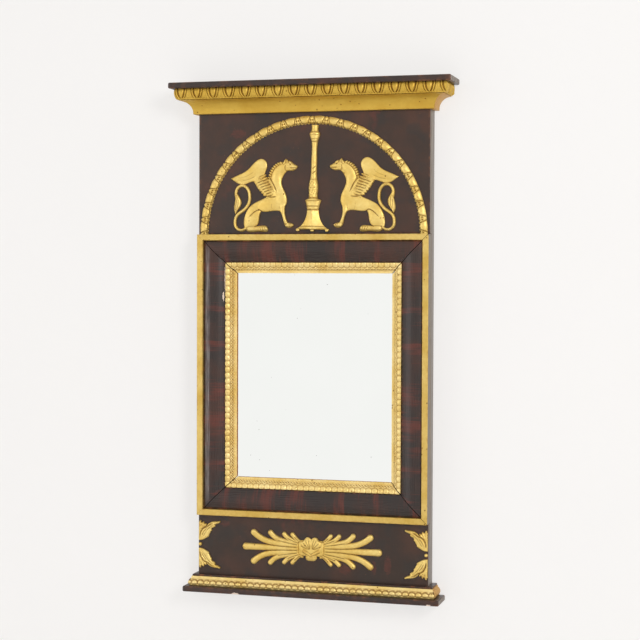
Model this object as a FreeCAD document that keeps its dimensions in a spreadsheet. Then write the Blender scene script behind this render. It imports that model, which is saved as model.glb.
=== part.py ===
import FreeCAD, Part
import math
import os
import Sketcher

# Parcel-gilt wall mirror in a dark painted frame, built as a joiner builds one: a tenoned pine
# carcass, two front panels with gilt castings, a mitred mirror frame between them, a moulded
# cornice and base, and an iron ring in a staple to hang it by.
#
# Axes: +X to the right seen from the front, +Y into the wall, +Z up. The wall is the plane Y = 0.
# The origin is the centre of the hanging ring's eye, on the wall plane.

SIZES = {
    # carcass
    "body_width": 395.0,
    "carcass_depth": 20.0,
    "packing_width": 10.2,
    "tenon_end_wall": 20.0,
    "tenon_thickness": 6.5,
    "tenon_shoulder": 6.0,
    "tenon_clearance": 0.15,
    "cut_spare": 1.0,
    "top_rail_height": 78.0,
    "bottom_rail_height": 40.0,
    # front panels and mirror frame
    "panel_thickness": 13.0,
    "lower_frieze_height": 119.3,
    "frame_height": 470.5,
    "frame_thickness": 23.7,
    "fillet_width": 10.0,
    "rail_width": 37.0,
    "rail_outer_edge": 18.5,
    "rail_inner_edge": 11.0,
    "rail_crown_radius": 32.7,
    "sight_width": 17.2,
    "sight_outer_edge": 13.0,
    "sight_crown_radius": 16.0,
    "sight_lip_width": 3.4,
    "sight_lip_edge": 3.2,
    # glass and its backing
    "glass_thickness": 3.0,
    "glass_overlap": 8.0,
    "packing_length": 42.0,
    "packing_inset": 62.0,
    "back_board_thickness": 6.0,
    "back_board_clearance": 0.5,
    # cornice
    "cornice_foot": 7.8,
    "cornice_foot_height": 2.3,
    "cavetto_radius": 20.0,
    "egg_height": 18.2,
    "egg_foot": 28.4,
    "egg_head": 31.8,
    "egg_crown_radius": 17.0,
    "egg_crown_spread": 2.0,
    "top_board_thickness": 9.8,
    "top_board_overhang": 40.8,
    "board_round": 2.4,
    # base
    "plinth_thickness": 9.4,
    "plinth_overhang": 21.6,
    "base_height": 15.6,
    "base_foot": 11.4,
    "base_neck": 9.4,
    "base_astragal": 2.6,
    "base_crown_radius": 8.5,
    "base_crown_spread": 4.0,
    "base_lip_height": 3.0,
    "base_lip_overhang": 8.0,
    # ornaments on the panels
    "arch_margin": 3.8,
    "arch_width": 13.5,
    "arch_flank": 2.5,
    "arch_crown_radius": 9.0,
    "crown_margin": 6.75,
    "ornament_lift": 4.0,
    "candelabrum_shift": 0.5,
    "griffin_shift": 2.5,
    "candelabrum_relief": 6.5,
    "candelabrum_gap": 1.0,
    "griffin_relief": 5.0,
    "griffin_tail_relief": 4.0,
    "griffin_tuft_relief": 4.5,
    "griffin_gap": 27.5,
    "griffin_clearance": 9.0,
    "palmette_length": 240.0,
    "palmette_shift": 0.8,
    "spray_relief": 4.5,
    "feather_relief": 3.8,
    "knot_relief": 6.5,
    "corner_leaf_margin": 10.8,
    "corner_leaf_relief": 4.5,
    "corner_leaf_inset": 0.6,
    "bead_radius": 2.8,
    # ironwork
    "ring_radius": 14.0,
    "ring_wire_radius": 2.0,
    "ring_below_board": 40.0,
    "ring_gap": 0.7,
    "staple_wire_radius": 1.5,
    "staple_clearance": 0.4,
    "staple_wall_gap": 0.4,
    "staple_leg": 9.0,
    "nail_radius": 1.2,
    "nail_head_radius": 2.8,
    "nail_head_thickness": 1.0,
    "nail_grip": 9.0,
    "nail_inset": 14.0,
    "brad_radius": 0.9,
    "brad_length": 22.0,
}

doc = FreeCAD.newDocument("wall_mirror")
sheet = doc.addObject("Spreadsheet::Sheet", "Sizes")
for row, (alias, number) in enumerate(SIZES.items(), start=1):
    sheet.set(f"A{row}", alias)
    sheet.set(f"B{row}", str(number))
    sheet.setAlias(f"B{row}", alias)
doc.recompute()


class Size:
    """A length that knows its number and the sheet formula that gives it."""

    def __init__(self, number, formula):
        self.number = number
        self.formula = formula

    def __add__(self, other):
        other = as_size(other)
        return Size(self.number + other.number, f"({self.formula} + {other.formula})")

    def __sub__(self, other):
        other = as_size(other)
        return Size(self.number - other.number, f"({self.formula} - {other.formula})")

    def __mul__(self, factor):
        return Size(self.number * factor, f"({self.formula} * {factor})")

    def __truediv__(self, divisor):
        return Size(self.number / divisor, f"({self.formula} / {divisor})")

    def __neg__(self):
        return Size(-self.number, f"(-1 * {self.formula})")


def as_size(value):
    """Give a plain number the form of a Size."""
    if isinstance(value, Size):
        return value
    return Size(float(value), f"({float(value)})")


def size(alias):
    """Read one driving dimension from the sheet."""
    return Size(float(sheet.get(alias)), f"Sizes.{alias}")


ZERO = as_size(0)

# Widths and depths worked out from the driving dimensions.
half_body = size("body_width") / 2
member_width = size("fillet_width") + size("rail_width") + size("sight_width")
carcass_width = member_width - size("glass_overlap") - size("packing_width")
carcass_front = -size("carcass_depth")
frieze_face = carcass_front - size("panel_thickness")
frieze_depth = size("carcass_depth") + size("panel_thickness")
staple_reach = (size("ring_wire_radius") + size("staple_clearance")
                + size("staple_wire_radius") * 2)
hanger_recess = (size("ring_gap") + size("ring_wire_radius") + staple_reach
                 + size("staple_wall_gap"))
arch_radius = half_body - size("arch_margin")
cornice_height = size("cornice_foot_height") + size("cavetto_radius") + size("egg_height")

# Levels along Z, from the ring's eye.
board_under = size("ring_below_board") + size("ring_radius")
frame_top = board_under - cornice_height - size("crown_margin") - arch_radius
frame_bottom = frame_top - size("frame_height")
plinth_top = frame_bottom - size("lower_frieze_height")
plinth_bottom = plinth_top - size("plinth_thickness")
cornice_bottom = board_under - cornice_height
base_top = plinth_top + size("base_height")
lip_top = base_top + size("base_lip_height")
glass_inset = member_width - size("glass_overlap")

pieces = []


def bind(item, prop, value):
    """Tie one property of an object to the sheet."""
    item.setExpression(prop, as_size(value).formula)


def place(item, corner, axis=(0, 0, 1), angle=0.0):
    """Turn an object about an axis and tie its position to the sheet."""
    item.Placement = FreeCAD.Placement(
        FreeCAD.Vector(0, 0, 0), FreeCAD.Rotation(FreeCAD.Vector(*axis), angle))
    for letter, value in zip("xyz", corner):
        bind(item, f"Placement.Base.{letter}", value)


def keep(item, label):
    """Count an object as a finished piece under its label."""
    item.Label = label
    pieces.append(item)
    return item


def block(name, low, high):
    """A rectangular block between two corners."""
    item = doc.addObject("Part::Box", name)
    for prop, start, end in zip(("Length", "Width", "Height"), low, high):
        bind(item, prop, as_size(end) - as_size(start))
    place(item, low)
    return item


def rod(name, radius, length, start, axis=(0, 0, 1), angle=0.0):
    """A round rod that starts at a point and runs along its turned Z axis."""
    item = doc.addObject("Part::Cylinder", name)
    bind(item, "Radius", radius)
    bind(item, "Height", length)
    place(item, start, axis, angle)
    return item


def fused(name, parts):
    """Several overlapping solids joined into one."""
    item = doc.addObject("Part::MultiFuse", name)
    item.Shapes = parts
    return item


def grouped(name, parts):
    """Several separate solids that share one node."""
    item = doc.addObject("Part::Compound", name)
    item.Links = parts
    return item


def origin_plane(body, role):
    """One of a body's own base planes."""
    return next(item for item in body.Origin.OriginFeatures if item.Role == role)


def arc_middle(start, end, radius, side):
    """The middle point of an arc, on the given side of its chord."""
    chord = end - start
    normal = FreeCAD.Vector(chord.y, -chord.x, 0).normalize() * side
    rise = radius - math.sqrt(radius * radius - chord.Length * chord.Length / 4)
    return (start + end) / 2 + normal * rise


def sketch_on(body, name, role, corners, arcs=None):
    """A closed, fully dimensioned outline on one of a body's base planes.

    corners are pairs of sizes. arcs maps a corner's number to the radius and the bulging side
    of the stretch that leaves it: 1 bulges to the right of the way round, -1 to the left.
    """
    arcs = arcs or {}
    sketch = body.newObject("Sketcher::SketchObject", name)
    sketch.AttachmentSupport = [(origin_plane(body, role), "")]
    sketch.MapMode = "FlatFace"
    points = [FreeCAD.Vector(u.number, v.number, 0) for u, v in corners]
    starts = []
    ends = []
    for index, start in enumerate(points):
        end = points[(index + 1) % len(points)]
        if index in arcs:
            radius, side = arcs[index]
            middle = arc_middle(start, end, radius.number, side)
            edge = sketch.addGeometry(Part.Arc(start, middle, end))
            bend = sketch.addConstraint(Sketcher.Constraint("Radius", edge, radius.number))
            sketch.setExpression(f"Constraints[{bend}]", radius.formula)
        else:
            edge = sketch.addGeometry(Part.LineSegment(start, end))
        forward = sketch.getPoint(edge, 1).distanceToPoint(start) < 1e-6
        starts.append((edge, 1 if forward else 2))
        ends.append((edge, 2 if forward else 1))
    for index, (u, v) in enumerate(corners):
        sketch.addConstraint(Sketcher.Constraint("Coincident", *ends[index - 1], *starts[index]))
        for kind, value in (("DistanceX", u), ("DistanceY", v)):
            number = sketch.addConstraint(
                Sketcher.Constraint(kind, -1, 1, *starts[index], value.number))
            sketch.setExpression(f"Constraints[{number}]", value.formula)
    return sketch


def mitre_cut(body, name, width, half, slope, end):
    """Cut one end of a moulding at 45 degrees across its width.

    slope is -1 where the moulding is shorter at its far edge, and 1 where it is longer there.
    end is 1 for the end along +Z and -1 for the other.
    """
    spare = size("cut_spare")
    if slope < 0:
        corners = [(-spare, half + spare), (width + spare, half - width - spare),
                   (width + spare, half + spare)]
    else:
        corners = [(-spare, half - spare), (width + spare, half + width + spare),
                   (-spare, half + width + spare)]
    if end < 0:
        corners = [(u, -v) for u, v in corners]
    before = body.Shape.Volume
    pocket = body.newObject("PartDesign::Pocket", name)
    pocket.Profile = sketch_on(body, f"{name}_outline", "XZ_Plane", corners)
    pocket.Type = "ThroughAll"
    pocket.SideType = "Symmetric"
    doc.recompute()
    if not body.Shape.Volume < before:
        raise RuntimeError(f"{name} cuts nothing")


def moulding(label, corners, arcs, width, half, slope, mitred_ends):
    """A moulded length along its local Z, from its section and its mitres.

    The section lies in local X, across the moulding, and local Y, its rise. width is how far the
    section reaches across. half is the length from the middle to a mitre at the section's near
    edge. A length with one mitre starts square at the middle.
    """
    body = doc.addObject("PartDesign::Body", label)
    section = sketch_on(body, f"{label}_section", "XY_Plane", corners, arcs)
    reach = half if slope < 0 else half + width
    pad = body.newObject("PartDesign::Pad", f"{label}_length")
    pad.Profile = section
    if len(mitred_ends) == 1:
        bind(pad, "Length", reach)
        pad.Reversed = mitred_ends[0] < 0
    else:
        pad.SideType = "Symmetric"
        bind(pad, "Length", reach * 2)
    doc.recompute()
    for end in mitred_ends:
        side = "far" if end > 0 else "near"
        mitre_cut(body, f"{label}_mitre_{side}", width, half, slope, end)
    return keep(body, label)


def turned(item, corner, columns):
    """Place an object by where its local X, Y and Z axes point."""
    matrix = FreeCAD.Matrix()
    for index, column in enumerate(columns):
        matrix.setCol(index, FreeCAD.Vector(*column))
    item.Placement = FreeCAD.Placement(matrix)
    for letter, value in zip("xyz", corner):
        bind(item, f"Placement.Base.{letter}", value)


# Carcass: four rails tenoned into two stiles.

tenon_length = carcass_width - size("tenon_end_wall")
inner_half = half_body - carcass_width
rails = {
    "top_rail": (board_under - size("top_rail_height"), board_under,
                 size("carcass_depth") - hanger_recess),
    "upper_cross_rail": (frame_top - carcass_width, frame_top, size("carcass_depth")),
    "lower_cross_rail": (frame_bottom, frame_bottom + carcass_width, size("carcass_depth")),
    "bottom_rail": (plinth_top, plinth_top + size("bottom_rail_height"), size("carcass_depth")),
}


def tenon(name, low, high, depth, side, room):
    """One tenon, or with room round it the mortise that takes it."""
    middle = carcass_front + depth / 2
    half_thickness = size("tenon_thickness") / 2 + room
    near = inner_half - size("cut_spare")
    far = inner_half + tenon_length + room
    left, right = (near, far) if side > 0 else (-far, -near)
    return block(name, (left, middle - half_thickness, low + size("tenon_shoulder") - room),
                 (right, middle + half_thickness, high - size("tenon_shoulder") + room))


for label, (low, high, depth) in rails.items():
    bar = block(f"{label}_bar", (-inner_half, carcass_front, low),
                (inner_half, carcass_front + depth, high))
    tenons = [tenon(f"{label}_tenon_{side}", low, high, depth, sign, ZERO)
              for side, sign in (("left", -1), ("right", 1))]
    keep(fused(label, [bar] + tenons), label)

for label, side in (("stile_left", -1), ("stile_right", 1)):
    left, right = (inner_half, half_body) if side > 0 else (-half_body, -inner_half)
    post = block(f"{label}_post", (left, carcass_front, plinth_top), (right, ZERO, board_under))
    mortises = [tenon(f"{label}_{rail}_mortise", low, high, depth, side, size("tenon_clearance"))
                for rail, (low, high, depth) in rails.items()]
    stile = doc.addObject("Part::Cut", label)
    stile.Base = post
    stile.Tool = fused(f"{label}_mortises", mortises)
    keep(stile, label)

# Front panels.

keep(block("upper_panel", (-half_body, frieze_face, frame_top),
           (half_body, carcass_front, board_under)), "upper_panel")
keep(block("lower_panel", (-half_body, frieze_face, plinth_top),
           (half_body, carcass_front, frame_bottom)), "lower_panel")

# Mirror frame: on each side a gilt fillet, a dark cushion length and a gilt sight moulding.

fillet_section = [(ZERO, ZERO), (size("fillet_width"), ZERO),
                  (size("fillet_width"), size("frame_thickness")), (ZERO, size("frame_thickness"))]
cushion_section = [(ZERO, ZERO), (size("rail_width"), ZERO),
                   (size("rail_width"), size("rail_inner_edge")), (ZERO, size("rail_outer_edge"))]
sight_section = [(ZERO, ZERO), (size("sight_width"), ZERO),
                 (size("sight_width"), size("sight_lip_edge")),
                 (size("sight_width") - size("sight_lip_width"), size("sight_lip_edge")),
                 (ZERO, size("sight_outer_edge"))]
strips = {
    "fillet": (ZERO, size("fillet_width"), fillet_section, {}),
    "frame": (size("fillet_width"), size("rail_width"), cushion_section,
              {2: (size("rail_crown_radius"), 1)}),
    "sight_moulding": (size("fillet_width") + size("rail_width"), size("sight_width"),
                       sight_section, {3: (size("sight_crown_radius"), 1)}),
}
frame_middle = (frame_top + frame_bottom) / 2
half_frame = size("frame_height") / 2
forward = (0, -1, 0)

for strip, (inset, width, section, arcs) in strips.items():
    sides = {
        "top": (half_body, (ZERO, frame_top - inset), ((0, 0, -1), forward, (-1, 0, 0))),
        "bottom": (half_body, (ZERO, frame_bottom + inset), ((0, 0, 1), forward, (1, 0, 0))),
        "left": (half_frame, (-half_body + inset, frame_middle), ((1, 0, 0), forward, (0, 0, -1))),
        "right": (half_frame, (half_body - inset, frame_middle), ((-1, 0, 0), forward, (0, 0, 1))),
    }
    for side, (half, (across, level), columns) in sides.items():
        length = moulding(f"{strip}_{side}", section, arcs, width, half - inset, -1, (1, -1))
        turned(length, (across, carcass_front, level), columns)

# Glass, the blocks that centre it and the board behind it.

glass_half = half_body - glass_inset
glass_low = frame_bottom + glass_inset
glass_high = frame_top - glass_inset
glass_back = carcass_front + size("glass_thickness")
keep(block("mirror_glass", (-glass_half, carcass_front, glass_low),
           (glass_half, glass_back, glass_high)), "mirror_glass")

packing = []
for side in ("left", "right"):
    near, far = (glass_half, inner_half) if side == "right" else (-inner_half, -glass_half)
    across = (half_body - size("packing_inset") - member_width) * (1 if side == "right" else -1)
    for end in ("low", "high"):
        reach = (half_frame - size("packing_inset") - member_width) * (1 if end == "high" else -1)
        level = frame_middle + reach
        packing.append(block(f"packing_side_{side}_{end}",
                             (near, carcass_front, level - size("packing_length") / 2),
                             (far, glass_back, level + size("packing_length") / 2)))
        bottom = glass_high if end == "high" else frame_bottom + carcass_width
        packing.append(block(f"packing_end_{side}_{end}",
                             (across - size("packing_length") / 2, carcass_front, bottom),
                             (across + size("packing_length") / 2, glass_back,
                              bottom + size("packing_width"))))
keep(grouped("glass_packing", packing), "glass_packing")

board_half = inner_half - size("back_board_clearance")
board_low = frame_bottom + carcass_width + size("back_board_clearance")
board_high = frame_top - carcass_width - size("back_board_clearance")
board_back = glass_back + size("back_board_thickness")
keep(block("back_board", (-board_half, glass_back, board_low),
           (board_half, board_back, board_high)), "back_board")

# Where the brads stand, as shares of the way from the middle to the opening's edge.
SIDE_BRAD_SHARES = (-0.7, 0.0, 0.7)
END_BRAD_SHARES = (-0.55, 0.55)

brads = []
brad_line = board_back + size("brad_radius")
half_brad = size("brad_length") / 2
for side in (-1, 1):
    for share in SIDE_BRAD_SHARES:
        level = frame_middle + (half_frame - member_width) * share
        start = (inner_half * side - half_brad, brad_line, level)
        brads.append(rod("side_brad", size("brad_radius"), size("brad_length"), start, (0, 1, 0), 90))
    for share in END_BRAD_SHARES:
        level = board_high if side > 0 else board_low
        start = ((half_body - member_width) * share, brad_line, level - half_brad)
        brads.append(rod("end_brad", size("brad_radius"), size("brad_length"), start))
keep(grouped("back_board_nails", brads), "back_board_nails")

# Cornice and base: each course has a front length and two returns to the wall.

foot = size("cornice_foot")
cavetto_top = size("cornice_foot_height") + size("cavetto_radius")
cavetto_section = [(ZERO, ZERO), (foot, ZERO), (foot, size("cornice_foot_height")),
                   (foot + size("cavetto_radius"), cavetto_top), (ZERO, cavetto_top)]
egg_section = [(ZERO, ZERO), (size("egg_foot"), ZERO), (size("egg_head"), size("egg_height")),
               (ZERO, size("egg_height"))]
base_section = [(ZERO, ZERO), (size("base_foot"), ZERO),
                (size("base_neck"), size("base_height") - size("base_astragal")),
                (size("base_neck"), size("base_height")), (ZERO, size("base_height"))]
lip_section = [(ZERO, ZERO), (size("base_lip_overhang"), ZERO),
               (size("base_lip_overhang"), size("base_lip_height")),
               (ZERO, size("base_lip_height"))]
courses = {
    "cornice": (cornice_bottom, foot + size("cavetto_radius"), cavetto_section,
                {2: (size("cavetto_radius"), -1)}),
    "egg_strip": (cornice_bottom + cavetto_top, size("egg_head") + size("egg_crown_spread"),
                  egg_section, {1: (size("egg_crown_radius"), 1)}),
    "base_moulding": (plinth_top, size("base_foot") + size("base_crown_spread"), base_section,
                      {1: (size("base_crown_radius"), 1)}),
    "base_lip": (base_top, size("base_lip_overhang"), lip_section, {}),
}
up = (0, 0, 1)

for course, (level, width, section, arcs) in courses.items():
    front = moulding(f"{course}_front", section, arcs, width, half_body, 1, (1, -1))
    turned(front, (ZERO, frieze_face, level), (forward, up, (-1, 0, 0)))
    left = moulding(f"{course}_left", section, arcs, width, frieze_depth, 1, (-1,))
    turned(left, (-half_body, ZERO, level), ((-1, 0, 0), up, (0, 1, 0)))
    right = moulding(f"{course}_right", section, arcs, width, frieze_depth, 1, (1,))
    turned(right, (half_body, ZERO, level), ((1, 0, 0), up, forward))


LEVEL_TOLERANCE = 0.1


def edge_board(label, low_level, high_level, overhang):
    """A thin board whose front and side edges are rounded over."""
    body = doc.addObject("PartDesign::Body", label)
    reach = half_body + overhang
    depth = frieze_depth + overhang
    corners = [(-reach, -depth), (reach, -depth), (reach, ZERO), (-reach, ZERO)]
    pad = body.newObject("PartDesign::Pad", f"{label}_thickness")
    pad.Profile = sketch_on(body, f"{label}_outline", "XY_Plane", corners)
    bind(pad, "Length", high_level - low_level)
    doc.recompute()
    rounded = []
    for number, edge in enumerate(pad.Shape.Edges, start=1):
        middle = edge.BoundBox.Center
        level_edge = edge.BoundBox.ZLength < LEVEL_TOLERANCE
        if level_edge and middle.y < -LEVEL_TOLERANCE:
            rounded.append(f"Edge{number}")
    nosing = body.newObject("PartDesign::Fillet", f"{label}_nosing")
    nosing.Base = (pad, rounded)
    bind(nosing, "Radius", size("board_round"))
    place(body, (ZERO, ZERO, low_level))
    return keep(body, label)


edge_board("top_board", board_under, board_under + size("top_board_thickness"),
           size("top_board_overhang"))
edge_board("plinth_board", plinth_bottom, plinth_top, size("plinth_overhang"))

# Arch of leaf moulding on the upper panel, in two quarters that meet at the crown.

for label, turn in (("arch_right", 0), ("arch_left", -90)):
    body = doc.addObject("PartDesign::Body", label)
    inner = arch_radius - size("arch_width")
    section = sketch_on(
        body, f"{label}_section", "XY_Plane",
        [(inner, ZERO), (arch_radius, ZERO), (arch_radius, size("arch_flank")),
         (inner, size("arch_flank"))],
        {2: (size("arch_crown_radius"), 1)})
    sweep = body.newObject("PartDesign::Revolution", f"{label}_bend")
    sweep.Profile = section
    sweep.ReferenceAxis = (section, ["V_Axis"])
    sweep.Angle = 90
    lay = FreeCAD.Rotation(FreeCAD.Vector(1, 0, 0), 180)
    spin = FreeCAD.Rotation(FreeCAD.Vector(0, 1, 0), turn)
    body.Placement = FreeCAD.Placement(FreeCAD.Vector(0, 0, 0), spin * lay)
    for letter, value in zip("xyz", (ZERO, frieze_face, frame_top)):
        bind(body, f"Placement.Base.{letter}", value)
    keep(body, label)


def curve(points):
    """One smooth edge through points, or a straight one between two."""
    vectors = [FreeCAD.Vector(u, 0, v) for u, v in points]
    if len(vectors) == 2:
        return Part.LineSegment(*vectors).toShape()
    spline = Part.BSplineCurve()
    spline.interpolate(vectors)
    return spline.toShape()


def raised(runs, relief):
    """A casting with a flat back: an outline of smooth runs that meet at corners."""
    face = Part.Face(Part.Wire([curve(run) for run in runs]))
    return face.extrude(FreeCAD.Vector(0, -relief, 0))


def band(points, widths, relief):
    """A casting's tapered strand along a curve, with a round tip at its end."""
    left = []
    right = []
    for index, (u, v) in enumerate(points):
        u0, v0 = points[max(index - 1, 0)]
        u1, v1 = points[min(index + 1, len(points) - 1)]
        span = math.hypot(u1 - u0, v1 - v0)
        du, dv = (u1 - u0) / span, (v1 - v0) / span
        half = widths[index] / 2
        left.append((u - dv * half, v + du * half))
        right.append((u + dv * half, v - du * half))
    tip = (u + du * half, v + dv * half)
    round_tip = Part.Arc(*[FreeCAD.Vector(p, 0, q) for p, q in (left[-1], tip, right[-1])])
    wire = Part.Wire([curve(left), round_tip.toShape(), curve(right[::-1]),
                      curve([right[0], left[0]])])
    return Part.Face(wire).extrude(FreeCAD.Vector(0, -relief, 0))


def scaled(runs, across, up_scale):
    """Runs of points drawn at one size, brought to another."""
    return [[(u * across, v * up_scale) for u, v in run] for run in runs]


def casting(label, shape, corner, lean=0.0):
    """A gilt casting on a panel, placed by its drawing's origin."""
    item = doc.addObject("Part::Feature", label)
    item.Shape = shape
    place(item, corner, (0, 1, 0), lean)
    return keep(item, label)


# Candelabrum: a turned shaft in half relief on a spreading foot, drawn 174 high.

CANDELABRUM_HEIGHT = 174.0
CANDELABRUM_LEAN = 1.4
CANDELABRUM_SIDE = [
    [(0, 0), (3, 0.3)],
    [(3, 0.3), (3.5, 3)],
    [(3.5, 3), (21.5, 3)],
    [(21.5, 3), (22.5, 0.5), (26.5, 0.5), (28.5, 4.5)],
    [(28.5, 4.5), (20, 9.5), (14.5, 17), (11.2, 26), (10, 37)],
    [(10, 37), (11.2, 43), (14, 51.5)],
    [(14, 51.5), (8, 54)],
    [(8, 54), (7.4, 62), (8, 73), (6.2, 84), (5, 115), (4.6, 137), (5.4, 147)],
    [(5.4, 147), (7.4, 153), (8.8, 159.5), (6.4, 163)],
    [(6.4, 163), (5.8, 167), (6.2, 174)],
    [(6.2, 174), (0, 174)],
]
candelabrum_height = (arch_radius - size("arch_width") - size("ornament_lift")
                      - size("candelabrum_gap")).number
candelabrum_scale = candelabrum_height / CANDELABRUM_HEIGHT
right_side = scaled(CANDELABRUM_SIDE, 1.0, candelabrum_scale)
left_side = [[(-u, v) for u, v in run[::-1]] for run in right_side[::-1]]
casting("candelabrum", raised(right_side + left_side, size("candelabrum_relief").number),
        (size("candelabrum_shift"), frieze_face, frame_top + size("ornament_lift")),
        CANDELABRUM_LEAN)

# Griffins: seated, facing the candelabrum, drawn from wing tip to beak along +u.

GRIFFIN_REACH = 115.5
GRIFFIN_TIP_HEIGHT = 88.0
GRIFFIN_BODY = [
    [(0.5, 88), (10, 92.5), (30, 102.5), (45, 117), (54, 120), (62, 114.5), (63, 105), (59.5, 95),
     (66, 87)],
    [(66, 87), (69.5, 99), (76, 108.5), (84, 113), (92.3, 114.6)],
    [(92.3, 114.6), (95.7, 119.8)],
    [(95.7, 119.8), (99.4, 115.9)],
    [(99.4, 115.9), (103.6, 115.6), (107.2, 112.7), (110.6, 110), (113.6, 108.6), (115.5, 106.2),
     (114, 103.2), (110.6, 100.8), (105.6, 99.4), (100, 99.8), (95.4, 97.4), (91.4, 92),
     (89, 86.5), (88.4, 79), (94, 65), (97.5, 53), (94.5, 42)],
    [(94.5, 42), (94, 31), (99, 15)],
    [(99, 15), (105, 14), (109, 11), (106, 7.5), (96, 8), (91, 20), (84, 34)],
    [(84, 34), (76, 34.5), (64, 33), (53.5, 34)],
    [(53.5, 34), (50, 24), (48, 14), (41.5, 8.5)],
    [(41.5, 8.5), (54, 10.5), (64, 7.5), (65, 2.5), (50, 0.5), (32, 0), (25, 5)],
    [(25, 5), (23, 16), (25.5, 28.5), (35, 43), (50, 51.5), (63.5, 58)],
    [(63.5, 58), (54, 65), (43.5, 78), (42.5, 82.5)],
    [(42.5, 82.5), (32, 81), (22, 77.5), (10, 81.5), (0.5, 88)],
]
GRIFFIN_TAIL = [(26, 6), (16, 3.3), (9, 9), (7.8, 16), (9.5, 24.5), (14, 30), (22, 35.5), (28.5, 42),
                (32.5, 50), (33.2, 58), (32, 66), (28.5, 72.5), (22.5, 76.2), (16.5, 75.6),
                (11.5, 71), (9.5, 64), (11, 56)]
GRIFFIN_TAIL_WIDTH = 5.2
GRIFFIN_TUFT = [
    [(10, 64), (8, 52), (6, 38), (9, 29)],
    [(9, 29), (13.5, 37), (19, 48), (16, 57), (11.5, 64)],
    [(11.5, 64), (10, 64)],
]
arch_inner = (arch_radius - size("arch_width")).number
beak_gap = size("griffin_gap").number
lift = size("ornament_lift").number
room = arch_inner - size("griffin_clearance").number
reach_squared = GRIFFIN_REACH ** 2 + GRIFFIN_TIP_HEIGHT ** 2
offset = beak_gap * GRIFFIN_REACH + lift * GRIFFIN_TIP_HEIGHT
short = room ** 2 - beak_gap ** 2 - lift ** 2
griffin_scale = (math.sqrt(offset ** 2 + reach_squared * short) - offset) / reach_squared

for label, side in (("griffin_left", 1), ("griffin_right", -1)):
    across = side * griffin_scale
    relief = size("griffin_relief").number
    drawn = [(u * across, v * griffin_scale) for u, v in GRIFFIN_TAIL]
    widths = [GRIFFIN_TAIL_WIDTH * griffin_scale] * len(drawn)
    body_shape = raised(scaled(GRIFFIN_BODY, across, griffin_scale), relief)
    tail_shape = band(drawn, widths, size("griffin_tail_relief").number)
    tuft_shape = raised(scaled(GRIFFIN_TUFT, across, griffin_scale),
                        size("griffin_tuft_relief").number)
    start = (size("griffin_gap") + GRIFFIN_REACH * griffin_scale) * -side
    casting(label, body_shape.fuse([tail_shape, tuft_shape]).removeSplitter(),
            (start + size("griffin_shift"), frieze_face, frame_top + size("ornament_lift")))

# Palmette on the lower panel: two sprays and the knot that ties them. Feathers are drawn as the
# points of their middle line and their widths there.

SPRAY_FEATHERS = [
    ([(18, 0), (60, 0), (90, 0), (114, 0)], [9, 9.5, 10.5, 12]),
    ([(20, 5), (55, 7), (84, 13.5), (100, 24)], [8, 10, 10, 11]),
    ([(20, 6), (46, 11), (62, 17), (71, 25)], [8, 9.5, 8.8, 9.2]),
    ([(18, 7), (34, 13.5), (42, 18.5), (47, 23.5)], [8, 8, 7.6, 7.8]),
    ([(14, 7), (24, 14), (29, 19), (33, 23.5)], [6, 6.8, 6.8, 7.2]),
]
SPRAY_ROOT = ([(14, 0), (28, 0), (42, 0)], [30, 25, 16])
KNOT_OUTLINE = [
    [(0, 16.5), (9, 19), (16, 13), (21, 12), (22, 4), (20.5, -9), (14, -11), (9, -10)],
    [(9, -10), (8.5, -16), (5, -18.5)],
    [(5, -18.5), (0, -19)],
]
tip_points, tip_widths = SPRAY_FEATHERS[0]
drawn_half = tip_points[-1][0] + tip_widths[-1] / 2
palmette_scale = size("palmette_length").number / (2 * drawn_half)
palmette_level = (lip_top + frame_bottom) / 2

knot_half = scaled(KNOT_OUTLINE, palmette_scale, palmette_scale)
knot_other = [[(-u, v) for u, v in run[::-1]] for run in knot_half[::-1]]
knot_shape = raised(knot_half + knot_other, size("knot_relief").number)
palmette_middle = (size("palmette_shift"), frieze_face, palmette_level)
casting("palmette_knot", knot_shape, palmette_middle)

for label, side in (("palmette_spray_left", -1), ("palmette_spray_right", 1)):
    strands = []
    for points, widths in [SPRAY_ROOT] + SPRAY_FEATHERS:
        central = points[0][1] == 0
        relief = size("spray_relief" if central else "feather_relief").number
        for half in ((1,) if central else (1, -1)):
            drawn = [(u * side * palmette_scale, v * half * palmette_scale) for u, v in points]
            strands.append(band(drawn, [width * palmette_scale for width in widths], relief))
    spray = strands[0].fuse(strands[1:]).removeSplitter()
    casting(label, spray.cut(knot_shape), palmette_middle)

# Half leaves at the ends of the lower panel, one up and one down at each end, drawn 79 high.

LEAF_PAIR_HEIGHT = 79.0
CORNER_LEAF = [
    [(0, 6.5), (8, 7.5), (14.5, 11.5), (20.5, 19.5), (24, 27.5), (28, 32), (33, 36), (38.5, 39.5)],
    [(38.5, 39.5), (31, 39.5), (24, 38.5), (18, 35.5), (14, 31)],
    [(14, 31), (10, 35.5), (5, 37), (0, 37)],
    [(0, 37), (0, 6.5)],
]
leaf_height = (frame_bottom - lip_top - size("corner_leaf_margin") * 2).number
leaf_scale = leaf_height / LEAF_PAIR_HEIGHT
leaf_edge = half_body - size("corner_leaf_inset")

for across_name, across in (("left", 1), ("right", -1)):
    for up_name, upward in (("upper", 1), ("lower", -1)):
        runs = scaled(CORNER_LEAF, across * leaf_scale, upward * leaf_scale)
        casting(f"corner_leaf_{up_name}_{across_name}",
                raised(runs, size("corner_leaf_relief").number),
                (leaf_edge * -across, frieze_face, palmette_level))

beads = []
for side in (-1, 1):
    centre = (leaf_edge - size("bead_radius")) * side
    beads.append(rod("bead", size("bead_radius"), size("corner_leaf_relief"),
                     (centre, frieze_face, palmette_level), (1, 0, 0), 90))
keep(grouped("edge_beads", beads), "edge_beads")

# Nails. Each is a rod with a flat head sunk flush.


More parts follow.
